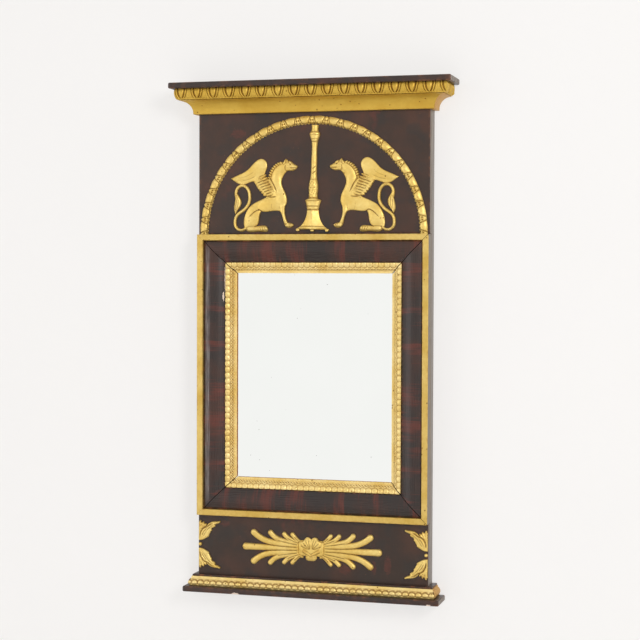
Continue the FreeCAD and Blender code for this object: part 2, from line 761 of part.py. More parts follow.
def nail(name, length, start, axis, angle):
    """A nail driven from a face: its head fills the first of its length."""
    shank = rod(f"{name}_shank", size("nail_radius"), length, start, axis, angle)
    head = rod(f"{name}_head", size("nail_head_radius"), size("nail_head_thickness"), start, axis, angle)
    return fused(name, [shank, head])


# Where nails stand, as shares of the way from the middle or, on a panel, of its height.
FRAME_NAIL_SHARES = (-0.75, -0.25, 0.25, 0.75)
END_NAIL_SHARES = (-0.4, 0.4)
PANEL_NAIL_SHARES = (0.25, 0.75)

nail_line = half_body - size("nail_inset")
through_carcass = size("carcass_depth") + size("nail_grip")
frame_nails = []
panel_nails = []
for side in (-1, 1):
    for share in FRAME_NAIL_SHARES:
        start = (nail_line * side, ZERO, frame_middle + half_frame * share)
        frame_nails.append(nail("frame_nail", through_carcass, start, (1, 0, 0), 90))
    for share in END_NAIL_SHARES:
        level = frame_middle + (half_frame - size("nail_inset")) * side
        start = (half_body * share, ZERO, level)
        frame_nails.append(nail("frame_end_nail", through_carcass, start, (1, 0, 0), 90))
    for low, high in ((frame_top, board_under), (plinth_top, frame_bottom)):
        for share in PANEL_NAIL_SHARES:
            start = (nail_line * side, ZERO, low + (high - low) * share)
            panel_nails.append(nail("panel_nail", through_carcass, start, (1, 0, 0), 90))
keep(grouped("frame_nails", frame_nails), "frame_nails")
keep(grouped("panel_nails", panel_nails), "panel_nails")

board_nails = []
plinth_nails = []
nail_depth = carcass_front / 2
for side in (-1, 1):
    start = (nail_line * side, nail_depth, board_under + size("top_board_thickness"))
    length = size("top_board_thickness") + size("nail_grip") * 2
    board_nails.append(nail("board_nail", length, start, (1, 0, 0), 180))
    start = (nail_line * side, nail_depth, plinth_bottom)
    length = size("plinth_thickness") + size("nail_grip") * 2
    plinth_nails.append(nail("plinth_nail", length, start, (1, 0, 0), 0))
keep(grouped("top_board_nails", board_nails), "top_board_nails")
keep(grouped("plinth_nails", plinth_nails), "plinth_nails")

# Hanging ring and its staple in the top rail.

ring_line = -(hanger_recess - size("ring_gap") - size("ring_wire_radius"))
ring = doc.addObject("Part::Torus", "hanging_ring")
bind(ring, "Radius1", size("ring_radius"))
bind(ring, "Radius2", size("ring_wire_radius"))
place(ring, (ZERO, ring_line, ZERO), (1, 0, 0), 90)
keep(ring, "hanging_ring")

staple_bend = size("ring_wire_radius") + size("staple_clearance") + size("staple_wire_radius")
bend = doc.addObject("Part::Torus", "staple_bend")
bind(bend, "Radius1", staple_bend)
bind(bend, "Radius2", size("staple_wire_radius"))
bend.Angle3 = 180
turned(bend, (ZERO, ring_line, size("ring_radius")), ((0, 0, 1), (0, 1, 0), (-1, 0, 0)))
leg_length = ring_line + hanger_recess + size("staple_leg")
legs = [rod(f"staple_leg_{name}", size("staple_wire_radius"), leg_length,
            (ZERO, ring_line, size("ring_radius") + staple_bend * sign), (1, 0, 0), 90)
        for name, sign in (("upper", 1), ("lower", -1))]
keep(fused("hanging_staple", [bend] + legs), "hanging_staple")

doc.recompute()

for item in doc.Objects:
    if "Invalid" in item.State or "Error" in item.State:
        raise RuntimeError(f"{item.Name} failed: {item.State}")
for item in pieces:
    if item.Shape.isNull() or not item.Shape.isValid() or not item.Shape.Solids:
        raise RuntimeError(f"{item.Label} has no valid solid")

os.makedirs("parts", exist_ok=True)
for item in pieces:
    item.Shape.exportStep(f"parts/{item.Label}.step")
    box = item.Shape.BoundBox
    print(f"{item.Label}: {len(item.Shape.Solids)} solid(s), {item.Shape.Volume:.0f} mm3, "
          f"X {box.XMin:.1f} {box.XMax:.1f}  Y {box.YMin:.1f} {box.YMax:.1f}  "
          f"Z {box.ZMin:.1f} {box.ZMax:.1f}")
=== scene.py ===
"""Parcel-gilt wall mirror in a dark painted frame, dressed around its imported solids.

Metres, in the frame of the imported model: +X to the right, +Y into the wall and +Z up, with the
origin at the eye of the hanging ring. Drawn ornaments are in millimetres until they are placed.
"""

import logging
import math
from collections.abc import Callable, Iterable, Iterator, Sequence
from contextlib import contextmanager
from dataclasses import dataclass, field
from enum import Enum

import bmesh
import bpy
import numpy as np
from mathutils import Euler, Matrix, Vector, geometry, noise


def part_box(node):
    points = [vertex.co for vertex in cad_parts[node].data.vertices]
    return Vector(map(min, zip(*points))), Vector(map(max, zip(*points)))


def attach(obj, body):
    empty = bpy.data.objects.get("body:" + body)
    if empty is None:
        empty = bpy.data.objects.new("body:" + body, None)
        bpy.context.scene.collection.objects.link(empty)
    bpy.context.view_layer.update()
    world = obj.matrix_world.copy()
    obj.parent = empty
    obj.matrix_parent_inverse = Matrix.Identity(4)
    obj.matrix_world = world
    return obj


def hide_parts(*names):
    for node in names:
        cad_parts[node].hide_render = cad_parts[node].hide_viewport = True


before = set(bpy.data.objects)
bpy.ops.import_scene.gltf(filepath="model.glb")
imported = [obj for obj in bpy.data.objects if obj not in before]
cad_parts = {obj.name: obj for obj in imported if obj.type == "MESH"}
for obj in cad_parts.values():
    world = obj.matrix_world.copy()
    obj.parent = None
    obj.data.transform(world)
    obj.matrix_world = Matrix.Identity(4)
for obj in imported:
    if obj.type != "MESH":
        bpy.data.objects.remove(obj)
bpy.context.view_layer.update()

Colour = tuple[float, float, float]
Point = tuple[float, float]
Triple = Sequence[float]
Array = np.ndarray
Socket = bpy.types.NodeSocket
Mesh = bpy.types.Mesh
Material = bpy.types.Material

SEED = 1
MM = 0.001
MERGE = 1e-6
ORIGIN = (0.0, 0.0, 0.0)
CARVED_SHARP = math.radians(50)
CAST_SHARP = math.radians(60)
FLAT_BEND = math.radians(30)
FACING = 0.9
LOG = logging.getLogger("wall_mirror")
noise.seed_set(SEED)


class Slot(Enum):
    """Material slots of the record."""

    GILDING = "gilding"
    DARK_PAINT = "dark_paint"
    PINE = "pine"
    GLASS = "silvered_glass"
    IRON = "iron"


class Body(Enum):
    """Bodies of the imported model."""

    MIRROR = "mirror_body"
    RING = "ring"


class Side(Enum):
    """Left or right of the middle, with its sign along X."""

    LEFT = -1
    RIGHT = 1

    @property
    def label(self) -> str:
        """The word for it in names."""
        return self.name.lower()


class Grain(Enum):
    """The axis that a board's grain runs along."""

    ACROSS = 0
    UPRIGHT = 2


def srgb(red: int, green: int, blue: int) -> Colour:
    """A linear colour from its usual 0 to 255 numbers."""
    shares = [number / 255 for number in (red, green, blue)]
    return tuple(s / 12.92 if s <= 0.04045 else ((s + 0.055) / 1.055) ** 2.4 for s in shares)


@dataclass(frozen=True)
class Reach:
    """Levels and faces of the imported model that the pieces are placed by."""

    half_body: float
    carcass_front: float
    frieze_face: float
    frame_top: float
    frame_bottom: float
    board_under: float
    plinth_top: float
    lip_top: float

    @classmethod
    def of_frame(cls) -> "Reach":
        """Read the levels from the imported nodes."""
        upper_low, upper_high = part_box("upper_panel")
        lower_low, lower_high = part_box("lower_panel")
        return cls(
            half_body=upper_high.x,
            carcass_front=upper_high.y,
            frieze_face=upper_low.y,
            frame_top=upper_low.z,
            frame_bottom=lower_high.z,
            board_under=upper_high.z,
            plinth_top=lower_low.z,
            lip_top=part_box("base_lip_front")[1].z,
        )


class Bench:
    """Adds nodes to one tree and wires them."""

    def __init__(self, tree: bpy.types.NodeTree) -> None:
        """Work on a tree."""
        self.tree = tree

    def add(self, kind: str, feeds: dict | None = None, **settings: object) -> bpy.types.Node:
        """Add a node.

        Args:
            kind: The node's type.
            feeds: Input names or numbers, with the value or the socket that feeds each.
            settings: Properties of the node.

        Returns:
            The new node.
        """
        node = self.tree.nodes.new(kind)
        for name, value in settings.items():
            setattr(node, name, value)
        self.wire(node, feeds or {})
        return node

    def wire(self, node: bpy.types.Node, feeds: dict) -> None:
        """Link sockets to a node's inputs, or set the inputs' own values.

        Args:
            node: The node.
            feeds: Input names or numbers, with the value or the socket that feeds each.
        """
        for key, value in feeds.items():
            socket = node.inputs[key]
            if isinstance(value, Socket):
                self.tree.links.new(value, socket)
            elif socket.type == "RGBA" and len(value) == 3:
                socket.default_value = (*value, 1.0)
            else:
                socket.default_value = value

    def group(self, tree: bpy.types.NodeTree, **feeds: object) -> bpy.types.NodeOutputs:
        """Add a shared group, fed by its inputs' names in lower case, and give its outputs."""
        named = {label.title(): value for label, value in feeds.items()}
        return self.add("ShaderNodeGroup", named, node_tree=tree).outputs

    def coordinates(self, kind: str = "Object") -> Socket:
        """The piece's own coordinates."""
        return self.add("ShaderNodeTexCoord").outputs[kind]

    def noise(self, vector: Socket, scale: object, detail: float = 3.0) -> Socket:
        """Cloudy noise between 0 and 1."""
        node = self.add("ShaderNodeTexNoise", {"Vector": vector, "Scale": scale, "Detail": detail})
        return node.outputs["Fac"]

    def streaks(self, vector: Socket, scale: Triple, detail: float = 3.0) -> Socket:
        """Noise with a scale of its own along each axis."""
        stretched = self.add("ShaderNodeMapping", {"Vector": vector, "Scale": scale}).outputs["Vector"]
        return self.noise(stretched, 1.0, detail)

    def span(self, value: Socket, low: float, high: float,
             to_low: float = 0.0, to_high: float = 1.0) -> Socket:
        """A value brought from one range to another and held inside it."""
        feeds = {"Value": value, 1: low, 2: high, 3: to_low, 4: to_high}
        return self.add("ShaderNodeMapRange", feeds, clamp=True).outputs["Result"]

    def calc(self, operation: str, first: object, *others: object) -> Socket:
        """Arithmetic on two values, or on more from left to right."""
        for other in others or (0.0,):
            first = self.add("ShaderNodeMath", {0: first, 1: other}, operation=operation).outputs[0]
        return first

    def product(self, *factors: object) -> Socket:
        """Values multiplied."""
        return self.calc("MULTIPLY", *factors)

    def greatest(self, *values: object) -> Socket:
        """The greatest of some values."""
        return self.calc("MAXIMUM", *values)

    def mix(self, share: object, first: object, second: object) -> Socket:
        """Two colours mixed by a share."""
        return self.add("ShaderNodeMix", {0: share, 6: first, 7: second}, data_type="RGBA").outputs[2]

    def mark(self, name: str) -> Socket:
        """A number painted on the piece."""
        return self.add("ShaderNodeAttribute", attribute_name=name).outputs["Fac"]

    def marked(self, name: str) -> Socket:
        """1 on the faces that carry a mark and 0 on the others."""
        return self.span(self.mark(name), 0.45, 0.55)

    def blot(self, place: Socket, centre: Triple, radii: Triple) -> Socket:
        """1 inside a ragged ellipsoid, given in millimetres, and 0 outside it."""
        middle, reach = [[number * MM for number in numbers] for numbers in (centre, radii)]
        off = self.add("ShaderNodeVectorMath", {0: place, 1: middle}, operation="SUBTRACT").outputs[0]
        off = self.add("ShaderNodeVectorMath", {0: off, 1: reach}, operation="DIVIDE").outputs[0]
        away = self.add("ShaderNodeVectorMath", {0: off}, operation="LENGTH").outputs["Value"]
        ragged = self.span(self.noise(place, 420.0, 4.0), 0.3, 0.7, 0.5, 1.1)
        return self.calc("LESS_THAN", away, ragged)

    def bump(self, height: Socket, distance: float, strength: float) -> Socket:
        """A normal from a height."""
        feeds = {"Height": height, "Distance": distance, "Strength": strength}
        return self.add("ShaderNodeBump", feeds).outputs["Normal"]


def shader_group(name: str, inputs: dict[str, str], outputs: dict[str, str]
                 ) -> tuple[Bench, dict[str, Socket], bpy.types.Node]:
    """Start a shader group with named sockets.

    Args:
        name: The group's name.
        inputs: Socket names and their kinds.
        outputs: Socket names and their kinds.

    Returns:
        The group's bench, its input sockets by name and its output node.
    """
    tree = bpy.data.node_groups.new(name, "ShaderNodeTree")
    for way, sockets in (("INPUT", inputs), ("OUTPUT", outputs)):
        for label, kind in sockets.items():
            tree.interface.new_socket(label, in_out=way, socket_type=f"NodeSocket{kind}")
    bench = Bench(tree)
    start = bench.add("NodeGroupInput")
    end = bench.add("NodeGroupOutput")
    return bench, {label: start.outputs[label] for label in inputs}, end


class Effects:
    """Shader groups that several finishes share, each built once."""

    def __init__(self) -> None:
        """Build the groups."""
        self.grime = self._grime()
        self.wear = self._wear()
        self.specks = self._specks()
        self.grain = self._grain()

    @staticmethod
    def _grime() -> bpy.types.NodeTree:
        """Dirt and painted shade in the hollows of carving, and painted shade on open mitre ends."""
        bench, given, end = shader_group(
            "hollow_grime", {"Colour": "Color", "Grime": "Color", "Strength": "Float"},
            {"Colour": "Color", "Mask": "Float"})
        broken = bench.span(bench.noise(bench.coordinates(), 260.0), 0.25, 0.7, 0.55, 1.0)
        hollow = bench.product(bench.span(bench.mark("hollow"), 0.12, 0.85), given["Strength"])
        # Hollows darken with dirt and painted shade; open mitre ends darken with painted shade.
        mask = bench.greatest(bench.product(hollow, broken), bench.mark("cut"))
        bench.wire(end, {"Mask": mask, "Colour": bench.mix(mask, given["Colour"], given["Grime"])})
        return bench.tree

    @staticmethod
    def _wear() -> bpy.types.NodeTree:
        """Rubbed edges and crests, where the layer below shows through."""
        bench, given, end = shader_group(
            "rubbed_edges", {"Colour": "Color", "Under": "Color", "Strength": "Float", "Scale": "Float"},
            {"Colour": "Color", "Mask": "Float"})
        cloud = bench.noise(bench.coordinates(), given["Scale"], 5.0)
        mask = bench.product(bench.mark("worn"), bench.span(cloud, 0.5, 0.66), given["Strength"])
        bench.wire(end, {"Mask": mask, "Colour": bench.mix(mask, given["Colour"], given["Under"])})
        return bench.tree

    @staticmethod
    def _specks() -> bpy.types.NodeTree:
        """Scattered small flecks, gathered in patches."""
        bench, given, end = shader_group("age_specks", {"Scale": "Float", "Size": "Float"}, {"Mask": "Float"})
        place = bench.coordinates()
        cells = bench.add("ShaderNodeTexVoronoi", {"Vector": place, "Scale": given["Scale"]})
        patches = bench.span(bench.noise(place, 24.0), 0.42, 0.56)
        limit = bench.product(given["Size"], patches)
        bench.wire(end, {"Mask": bench.calc("LESS_THAN", cells.outputs["Distance"], limit)})
        return bench.tree

    @staticmethod
    def _grain() -> bpy.types.NodeTree:
        """Softwood grain along the second axis of the given coordinates."""
        bench, given, end = shader_group(
            "softwood_grain", {"Vector": "Vector", "Early": "Color", "Late": "Color"},
            {"Colour": "Color", "Height": "Float"})
        ring = bench.span(bench.streaks(given["Vector"], (85.0, 1.6, 85.0), 2.0), 0.46, 0.66)
        fibre = bench.streaks(given["Vector"], (900.0, 26.0, 900.0), 4.0)
        late = bench.product(ring, bench.span(fibre, 0.3, 0.75, 0.4, 1.0))
        bench.wire(end, {"Colour": bench.mix(late, given["Early"], given["Late"]),
                         "Height": bench.calc("ADD", bench.product(ring, 0.5), fibre)})
        return bench.tree


def new_material(name: str) -> tuple[Material, Bench, bpy.types.Node]:
    """Start a material.

    Args:
        name: The material's name.

    Returns:
        The material, its bench and its shader node.
    """
    material = bpy.data.materials.new(name)
    material.use_nodes = True
    return material, Bench(material.node_tree), material.node_tree.nodes["Principled BSDF"]


@dataclass(frozen=True)
class Gilding:
    """Aged gilding over red-brown bole: dirt and painted shade in its hollows, rubbed on its crests."""

    name: str
    leaf: Colour = srgb(206, 171, 84)
    pale: Colour = srgb(226, 196, 116)
    deep: Colour = srgb(182, 142, 60)
    bole: Colour = srgb(156, 98, 40)
    # Dark brown for specks, and for dirt and painted shade in the hollows.
    grime: Colour = srgb(112, 72, 18)
    # Light grey for painted side faces: dark paint shown with dust and painted sheen.
    side_dust_and_sheen: Colour = srgb(138, 129, 119)
    mottle: float = 0.3
    metallic: float = 0.45
    specular: float = 0.22
    wear: float = 0.45
    # How strongly the hollows darken with dirt and painted shade.
    dirt: float = 0.9
    relief: float = 0.12 * MM

    def material(self, effects: Effects) -> Material:
        """Build the finish from the shared effects."""
        material, bench, shader = new_material(self.name)
        place = bench.coordinates()
        cloud = bench.span(bench.noise(place, 30.0, 4.0), 0.32, 0.68)
        mottle = bench.span(bench.noise(place, 210.0, 4.0), 0.3, 0.7)
        tone = bench.mix(cloud, self.leaf, self.pale)
        tone = bench.mix(bench.product(mottle, self.mottle), tone, self.deep)
        rubbed = bench.group(effects.wear, colour=tone, under=self.bole, strength=self.wear, scale=150.0)
        # Hollows and open mitre ends darken: dirt and painted shade.
        dirty_and_shaded = bench.group(effects.grime, colour=rubbed["Colour"], grime=self.grime, strength=self.dirt)
        specks = bench.group(effects.specks, scale=100.0, size=0.13)["Mask"]
        tone = bench.mix(bench.product(specks, 0.8), dirty_and_shaded["Colour"], self.grime)
        # Painted sides take the light grey of dust and painted sheen; bare faces show the bole.
        painted, bare = bench.marked("painted"), bench.marked("bare")
        tone = bench.mix(bare, bench.mix(painted, tone, self.side_dust_and_sheen), self.bole)
        dull = bench.greatest(dirty_and_shaded["Mask"], specks, painted, bare)
        rough = bench.span(mottle, 0.0, 1.0, 0.36, 0.5)
        fine = bench.noise(place, 1400.0, 2.0)
        height = bench.calc("ADD", bench.product(mottle, 0.6), bench.product(fine, 0.4))
        bench.wire(shader, {
            "Base Color": tone,
            "Metallic": bench.span(dull, 0.0, 1.0, self.metallic, 0.05),
            "Roughness": bench.calc("ADD", rough, bench.product(dull, 0.3)),
            "Normal": bench.bump(height, self.relief, 0.4),
        })
        shader.inputs["Specular IOR Level"].default_value = self.specular
        return material


@dataclass(frozen=True)
class DarkPaint:
    """Near-black brown paint over red, chipped to its pale ground, with raw pine where it was left bare.

    Side ends are light grey for dust and painted sheen, open mitre ends near black for painted shade, and
    one rail has a pale band of painted sheen. The places of smudges, chips and that band are in millimetres.
    """

    name: str
    black: Colour = srgb(46, 36, 32)
    brown: Colour = srgb(68, 42, 32)
    green: Colour = srgb(42, 38, 34)
    red: Colour = srgb(104, 48, 36)
    under: Colour = srgb(128, 80, 50)
    # Light grey for side ends: dust and painted sheen.
    dust_and_sheen: Colour = srgb(140, 131, 121)
    pine: Colour = srgb(150, 112, 72)
    ground: Colour = srgb(228, 208, 190)
    # Near black for open mitre ends: painted shade.
    gap: Colour = srgb(16, 11, 9)
    # Pale grey band on one rail: painted sheen, in place of a reflected window.
    painted_sheen: Colour = srgb(150, 142, 138)
    grained: bool = False
    red_share: float = 0.5
    gloss: Point = (0.3, 0.44)
    specular: float = 0.4
    relief: float = 0.06 * MM
    # Across, middle and ends of the painted sheen band.
    sheen_band: Point = (0.0, 0.0)
    sheen_band_middle: float = -422
    sheen_band_ends: Point = (195, 215)
    smudges: tuple = ()
    chips: tuple = ()

    def _strokes(self, bench: Bench) -> Socket:
        """Red strokes: across the rails where the paint is grained, else small smudges."""
        if self.grained:
            flat = bench.coordinates("UV")
            strokes = bench.streaks(flat, (330.0, 14.0, 1.0))
            patches = bench.streaks(flat, (32.0, 9.0, 1.0))
            ragged = bench.calc("ADD", patches, bench.product(strokes, 0.35))
            return bench.product(bench.span(ragged, 0.68, 0.82), bench.span(strokes, 0.3, 0.6, 0.7, 1.0))
        place = bench.coordinates()
        strokes = bench.span(bench.streaks(place, (90.0, 90.0, 60.0), 4.0), 0.5, 0.66)
        smudged = bench.product(strokes, bench.span(bench.noise(place, 13.0, 2.0), 0.56, 0.7))
        drawn_out = bench.span(bench.streaks(place, (60.0, 60.0, 240.0), 4.0), 0.36, 0.6, 0.35, 1.0)
        for centre, radii in self.smudges:
            smudged = bench.greatest(smudged, bench.product(bench.blot(place, centre, radii), drawn_out))
        return smudged

    def _brush(self, bench: Bench) -> Socket:
        """Brush marks: along the rails where the paint is grained, else upright."""
        if self.grained:
            return bench.streaks(bench.coordinates("UV"), (14.0, 700.0, 1.0), 4.0)
        return bench.streaks(bench.coordinates(), (420.0, 420.0, 30.0))

    def _blanching(self, bench: Bench, brush: Socket) -> Socket:
        """Painted sheen: a pale, streaked band near the outer edge of one rail, in place of a reflected
        window.
        """
        place = bench.add("ShaderNodeSeparateXYZ", {0: bench.coordinates()}).outputs
        low, high = [number * MM for number in self.sheen_band]
        across = bench.calc("ABSOLUTE", bench.calc("SUBTRACT", place["X"], (low + high) / 2))
        along = bench.calc("ABSOLUTE", bench.calc("SUBTRACT", place["Z"], self.sheen_band_middle * MM))
        inside, outside = [number * MM for number in self.sheen_band_ends]
        broken = bench.streaks(bench.coordinates("UV"), (40.0, 300.0, 1.0), 4.0)
        return bench.product(bench.span(across, (high - low) / 4, (high - low) / 2, 1.0, 0.0),
                             bench.span(along, inside, outside, 1.0, 0.0),
                             bench.span(brush, 0.4, 0.64, 0.1, 0.8),
                             bench.span(broken, 0.36, 0.6, 0.25, 1.0))

    def material(self, effects: Effects) -> Material:
        """Build the finish from the shared effects."""
        material, bench, shader = new_material(self.name)
        place = bench.coordinates()
        tone = bench.mix(bench.span(bench.noise(place, 16.0, 4.0), 0.38, 0.66), self.black, self.brown)
        tone = bench.mix(bench.span(bench.noise(place, 24.0), 0.52, 0.62, 0.0, 0.5), tone, self.green)
        tone = bench.mix(bench.product(self._strokes(bench), self.red_share), tone, self.red)
        rubbed = bench.group(effects.wear, colour=tone, under=self.under, strength=0.9, scale=90.0)
        specks = bench.group(effects.specks, scale=120.0, size=0.07)["Mask"]
        tone = bench.mix(bench.product(specks, 0.5), rubbed["Colour"], self.under)
        raw, dusty_sheen = bench.marked("raw"), bench.marked("dusty_sheen")
        fibre = bench.streaks(place, (700.0, 700.0, 24.0), 4.0)
        tone = bench.mix(raw, tone, bench.mix(fibre, self.pine, self.under))
        # Side ends: light grey, dust and painted sheen.
        tone = bench.mix(dusty_sheen, tone, bench.mix(bench.span(fibre, 0.45, 0.75), self.dust_and_sheen, self.brown))
        # Open mitre ends: near black, painted shade.
        tone = bench.mix(bench.mark("cut"), tone, self.gap)
        dull = bench.greatest(rubbed["Mask"], raw, dusty_sheen)
        for centre, radii in self.chips:
            chip = bench.blot(place, centre, radii)
            tone = bench.mix(chip, tone, self.ground)
            dull = bench.greatest(dull, chip)
        brush = self._brush(bench)
        # Painted sheen on the grained rails.
        if self.grained:
            tone = bench.mix(self._blanching(bench, brush), tone, self.painted_sheen)
        rough = bench.span(brush, 0.3, 0.7, *self.gloss)
        bench.wire(shader, {
            "Base Color": tone,
            "Roughness": bench.calc("ADD", rough, bench.product(dull, 0.3)),
            "Normal": bench.bump(fibre, self.relief, 0.4),
        })
        shader.inputs["Specular IOR Level"].default_value = self.specular
        return material


@dataclass(frozen=True)
class Pine:
    """Old unpainted pine, brown with age; its painted faces are light grey for dust and painted sheen."""

    name: str
    grain: Grain
    early: Colour = srgb(176, 134, 88)
    late: Colour = srgb(120, 78, 44)
    stain: Colour = srgb(74, 50, 32)
    # Light grey for the painted sides: dust and painted sheen.
    paint: Colour = srgb(138, 129, 119)
    paint_worn: Colour = srgb(96, 84, 74)
    relief: float = 0.3 * MM

    def material(self, effects: Effects) -> Material:
        """Build the finish from the shared effects."""
        material, bench, shader = new_material(self.name)
        place = bench.coordinates()
        turn = (0.0, 0.0, math.pi / 2) if self.grain is Grain.ACROSS else (math.pi / 2, 0.0, 0.0)
        turned = bench.add("ShaderNodeMapping", {"Vector": place, "Rotation": turn}).outputs["Vector"]
        wood = bench.group(effects.grain, vector=turned, early=self.early, late=self.late)
        soiled = bench.span(bench.noise(place, 9.0, 5.0), 0.42, 0.78, 0.0, 0.75)
        tone = bench.mix(soiled, wood["Colour"], self.stain)
        rubbed = bench.group(effects.wear, colour=tone, under=self.stain, strength=0.7, scale=60.0)
        painted = bench.marked("painted")
        # Painted sides: light grey streaked darker, dust and painted sheen over the dark paint.
        faded = bench.span(bench.streaks(place, (300.0, 300.0, 16.0), 4.0), 0.45, 0.7)
        paint = bench.mix(faded, self.paint, self.paint_worn)
        bench.wire(shader, {
            "Base Color": bench.mix(painted, rubbed["Colour"], paint),
            "Roughness": bench.span(painted, 0.0, 1.0, 0.72, 0.5),
            "Normal": bench.bump(wood["Height"], self.relief, 0.5),
        })
        return material


@dataclass(frozen=True)
class Iron:
    """Forged iron, dark where it is handled and rusty where it isn't."""

    name: str = "old_iron"
    iron: Colour = srgb(58, 54, 52)
    rust: Colour = srgb(108, 62, 36)
    relief: float = 0.4 * MM

    def material(self) -> Material:
        """Build the finish."""
        material, bench, shader = new_material(self.name)
        place = bench.coordinates()
        patch = bench.span(bench.noise(place, 180.0, 5.0), 0.42, 0.62)
        bench.wire(shader, {
            "Base Color": bench.mix(patch, self.iron, self.rust),
            "Metallic": bench.span(patch, 0.0, 1.0, 0.8, 0.05),
            "Roughness": bench.span(patch, 0.0, 1.0, 0.42, 0.85),
            "Normal": bench.bump(bench.noise(place, 900.0), self.relief, 0.7),
        })
        return material


@dataclass(frozen=True)
class Silvering:
    """Old silvered glass: clear, with a few small flecks lost from its silver."""

    name: str = "silvered_mirror"
    silver: Colour = srgb(244, 245, 242)
    haze: Colour = srgb(236, 238, 234)
    fleck: Colour = srgb(120, 118, 112)
    relief: float = 0.2 * MM

    def material(self, effects: Effects) -> Material:
        """Build the finish from the shared effects."""
        material, bench, shader = new_material(self.name)
        place = bench.coordinates()
        specks = bench.group(effects.specks, scale=70.0, size=0.045)["Mask"]
        hazy = bench.span(bench.noise(place, 6.0), 0.3, 0.8, 0.0, 0.35)
        bench.wire(shader, {
            "Base Color": bench.mix(specks, bench.mix(hazy, self.silver, self.haze), self.fleck),
            "Roughness": bench.span(specks, 0.0, 1.0, 0.015, 0.5),
            "Metallic": 1.0,
            "Normal": bench.bump(bench.streaks(place, (5.0, 5.0, 9.0), 1.0), self.relief, 0.3),
        })
        return material


def make_mesh(name: str, points: Array, faces: list, marks: dict[str, Array] | None = None,
              uv: Array | None = None) -> Mesh:
    """A mesh with numbers painted on its points.

    Args:
        name: The mesh's name.
        points: One row of three coordinates for each point.
        faces: The numbers of each face's points.
        marks: Painted numbers by name, one for each point.
        uv: Flat coordinates, one pair for each point.

    Returns:
        The mesh.
    """
    mesh = bpy.data.meshes.new(name)
    mesh.from_pydata(points.tolist(), [], faces)
    for mark, values in (marks or {}).items():
        layer = mesh.attributes.new(mark, "FLOAT", "POINT")
        layer.data.foreach_set("value", np.asarray(values, np.float32))
    if uv is not None:
        layer = mesh.uv_layers.new(name="UVMap")
        corners = np.empty(len(mesh.loops), np.int32)
        mesh.loops.foreach_get("vertex_index", corners)
        layer.data.foreach_set("uv", uv[corners].astype(np.float32).ravel())
    mesh.update()
    return mesh


@contextmanager
def opened(mesh: Mesh) -> Iterator[bmesh.types.BMesh]:
    """Open a mesh for changes and write them back."""
    shell = bmesh.new()
    shell.from_mesh(mesh)
    yield shell
    shell.to_mesh(mesh)
    shell.free()


def close_mesh(mesh: Mesh, sharp: float = math.radians(38)) -> Mesh:
    """Merge a mesh's doubles, turn its faces outwards and shade it smooth up to an angle."""
    with opened(mesh) as shell:
        bmesh.ops.remove_doubles(shell, verts=shell.verts, dist=MERGE)
        bmesh.ops.recalc_face_normals(shell, faces=shell.faces)
        for face in shell.faces:
            face.smooth = True
        for edge in shell.edges:
            edge.smooth = edge.calc_face_angle(math.pi) < sharp
    return mesh


def cut_ends(mesh: Mesh, planes: Iterable[tuple[Vector, Vector]] = ()) -> None:
    """Cut a row back to planes and close it.

    Args:
        mesh: The row.
        planes: A point and an outward direction for each cut.
    """
    with opened(mesh) as shell:
        for place, outward in planes:
            everything = shell.verts[:] + shell.edges[:] + shell.faces[:]
            bmesh.ops.bisect_plane(shell, geom=everything, dist=MERGE / 10, plane_co=place, plane_no=outward,
                                   clear_outer=True)
        rim = [edge for edge in shell.edges if edge.is_boundary]
        bmesh.ops.holes_fill(shell, edges=rim, sides=0)


def joined(name: str, meshes: Sequence[Mesh]) -> Mesh:
    """Several meshes as one."""
    whole = bpy.data.meshes.new(name)
    with opened(whole) as shell:
        for mesh in meshes:
            shell.from_mesh(mesh)
    return whole


def tube_faces(rings: int, size: int, ends: bool = True, loop: bool = False) -> list[list[int]]:
    """Faces of a tube whose points come ring by ring.

    Args:
        rings: How many rings it has.
        size: How many points each ring has.
        ends: True where a face closes each end.
        loop: True where the last ring joins the first.

    Returns:
        The numbers of each face's points.
    """
    faces = []
    for ring in range(rings if loop else rings - 1):
        near, far = ring * size, (ring + 1) % rings * size
        faces += [[near + i, near + (i + 1) % size, far + (i + 1) % size, far + i] for i in range(size)]
    if ends:
        faces += [list(range(size)), list(range((rings - 1) * size, rings * size))]
    return faces


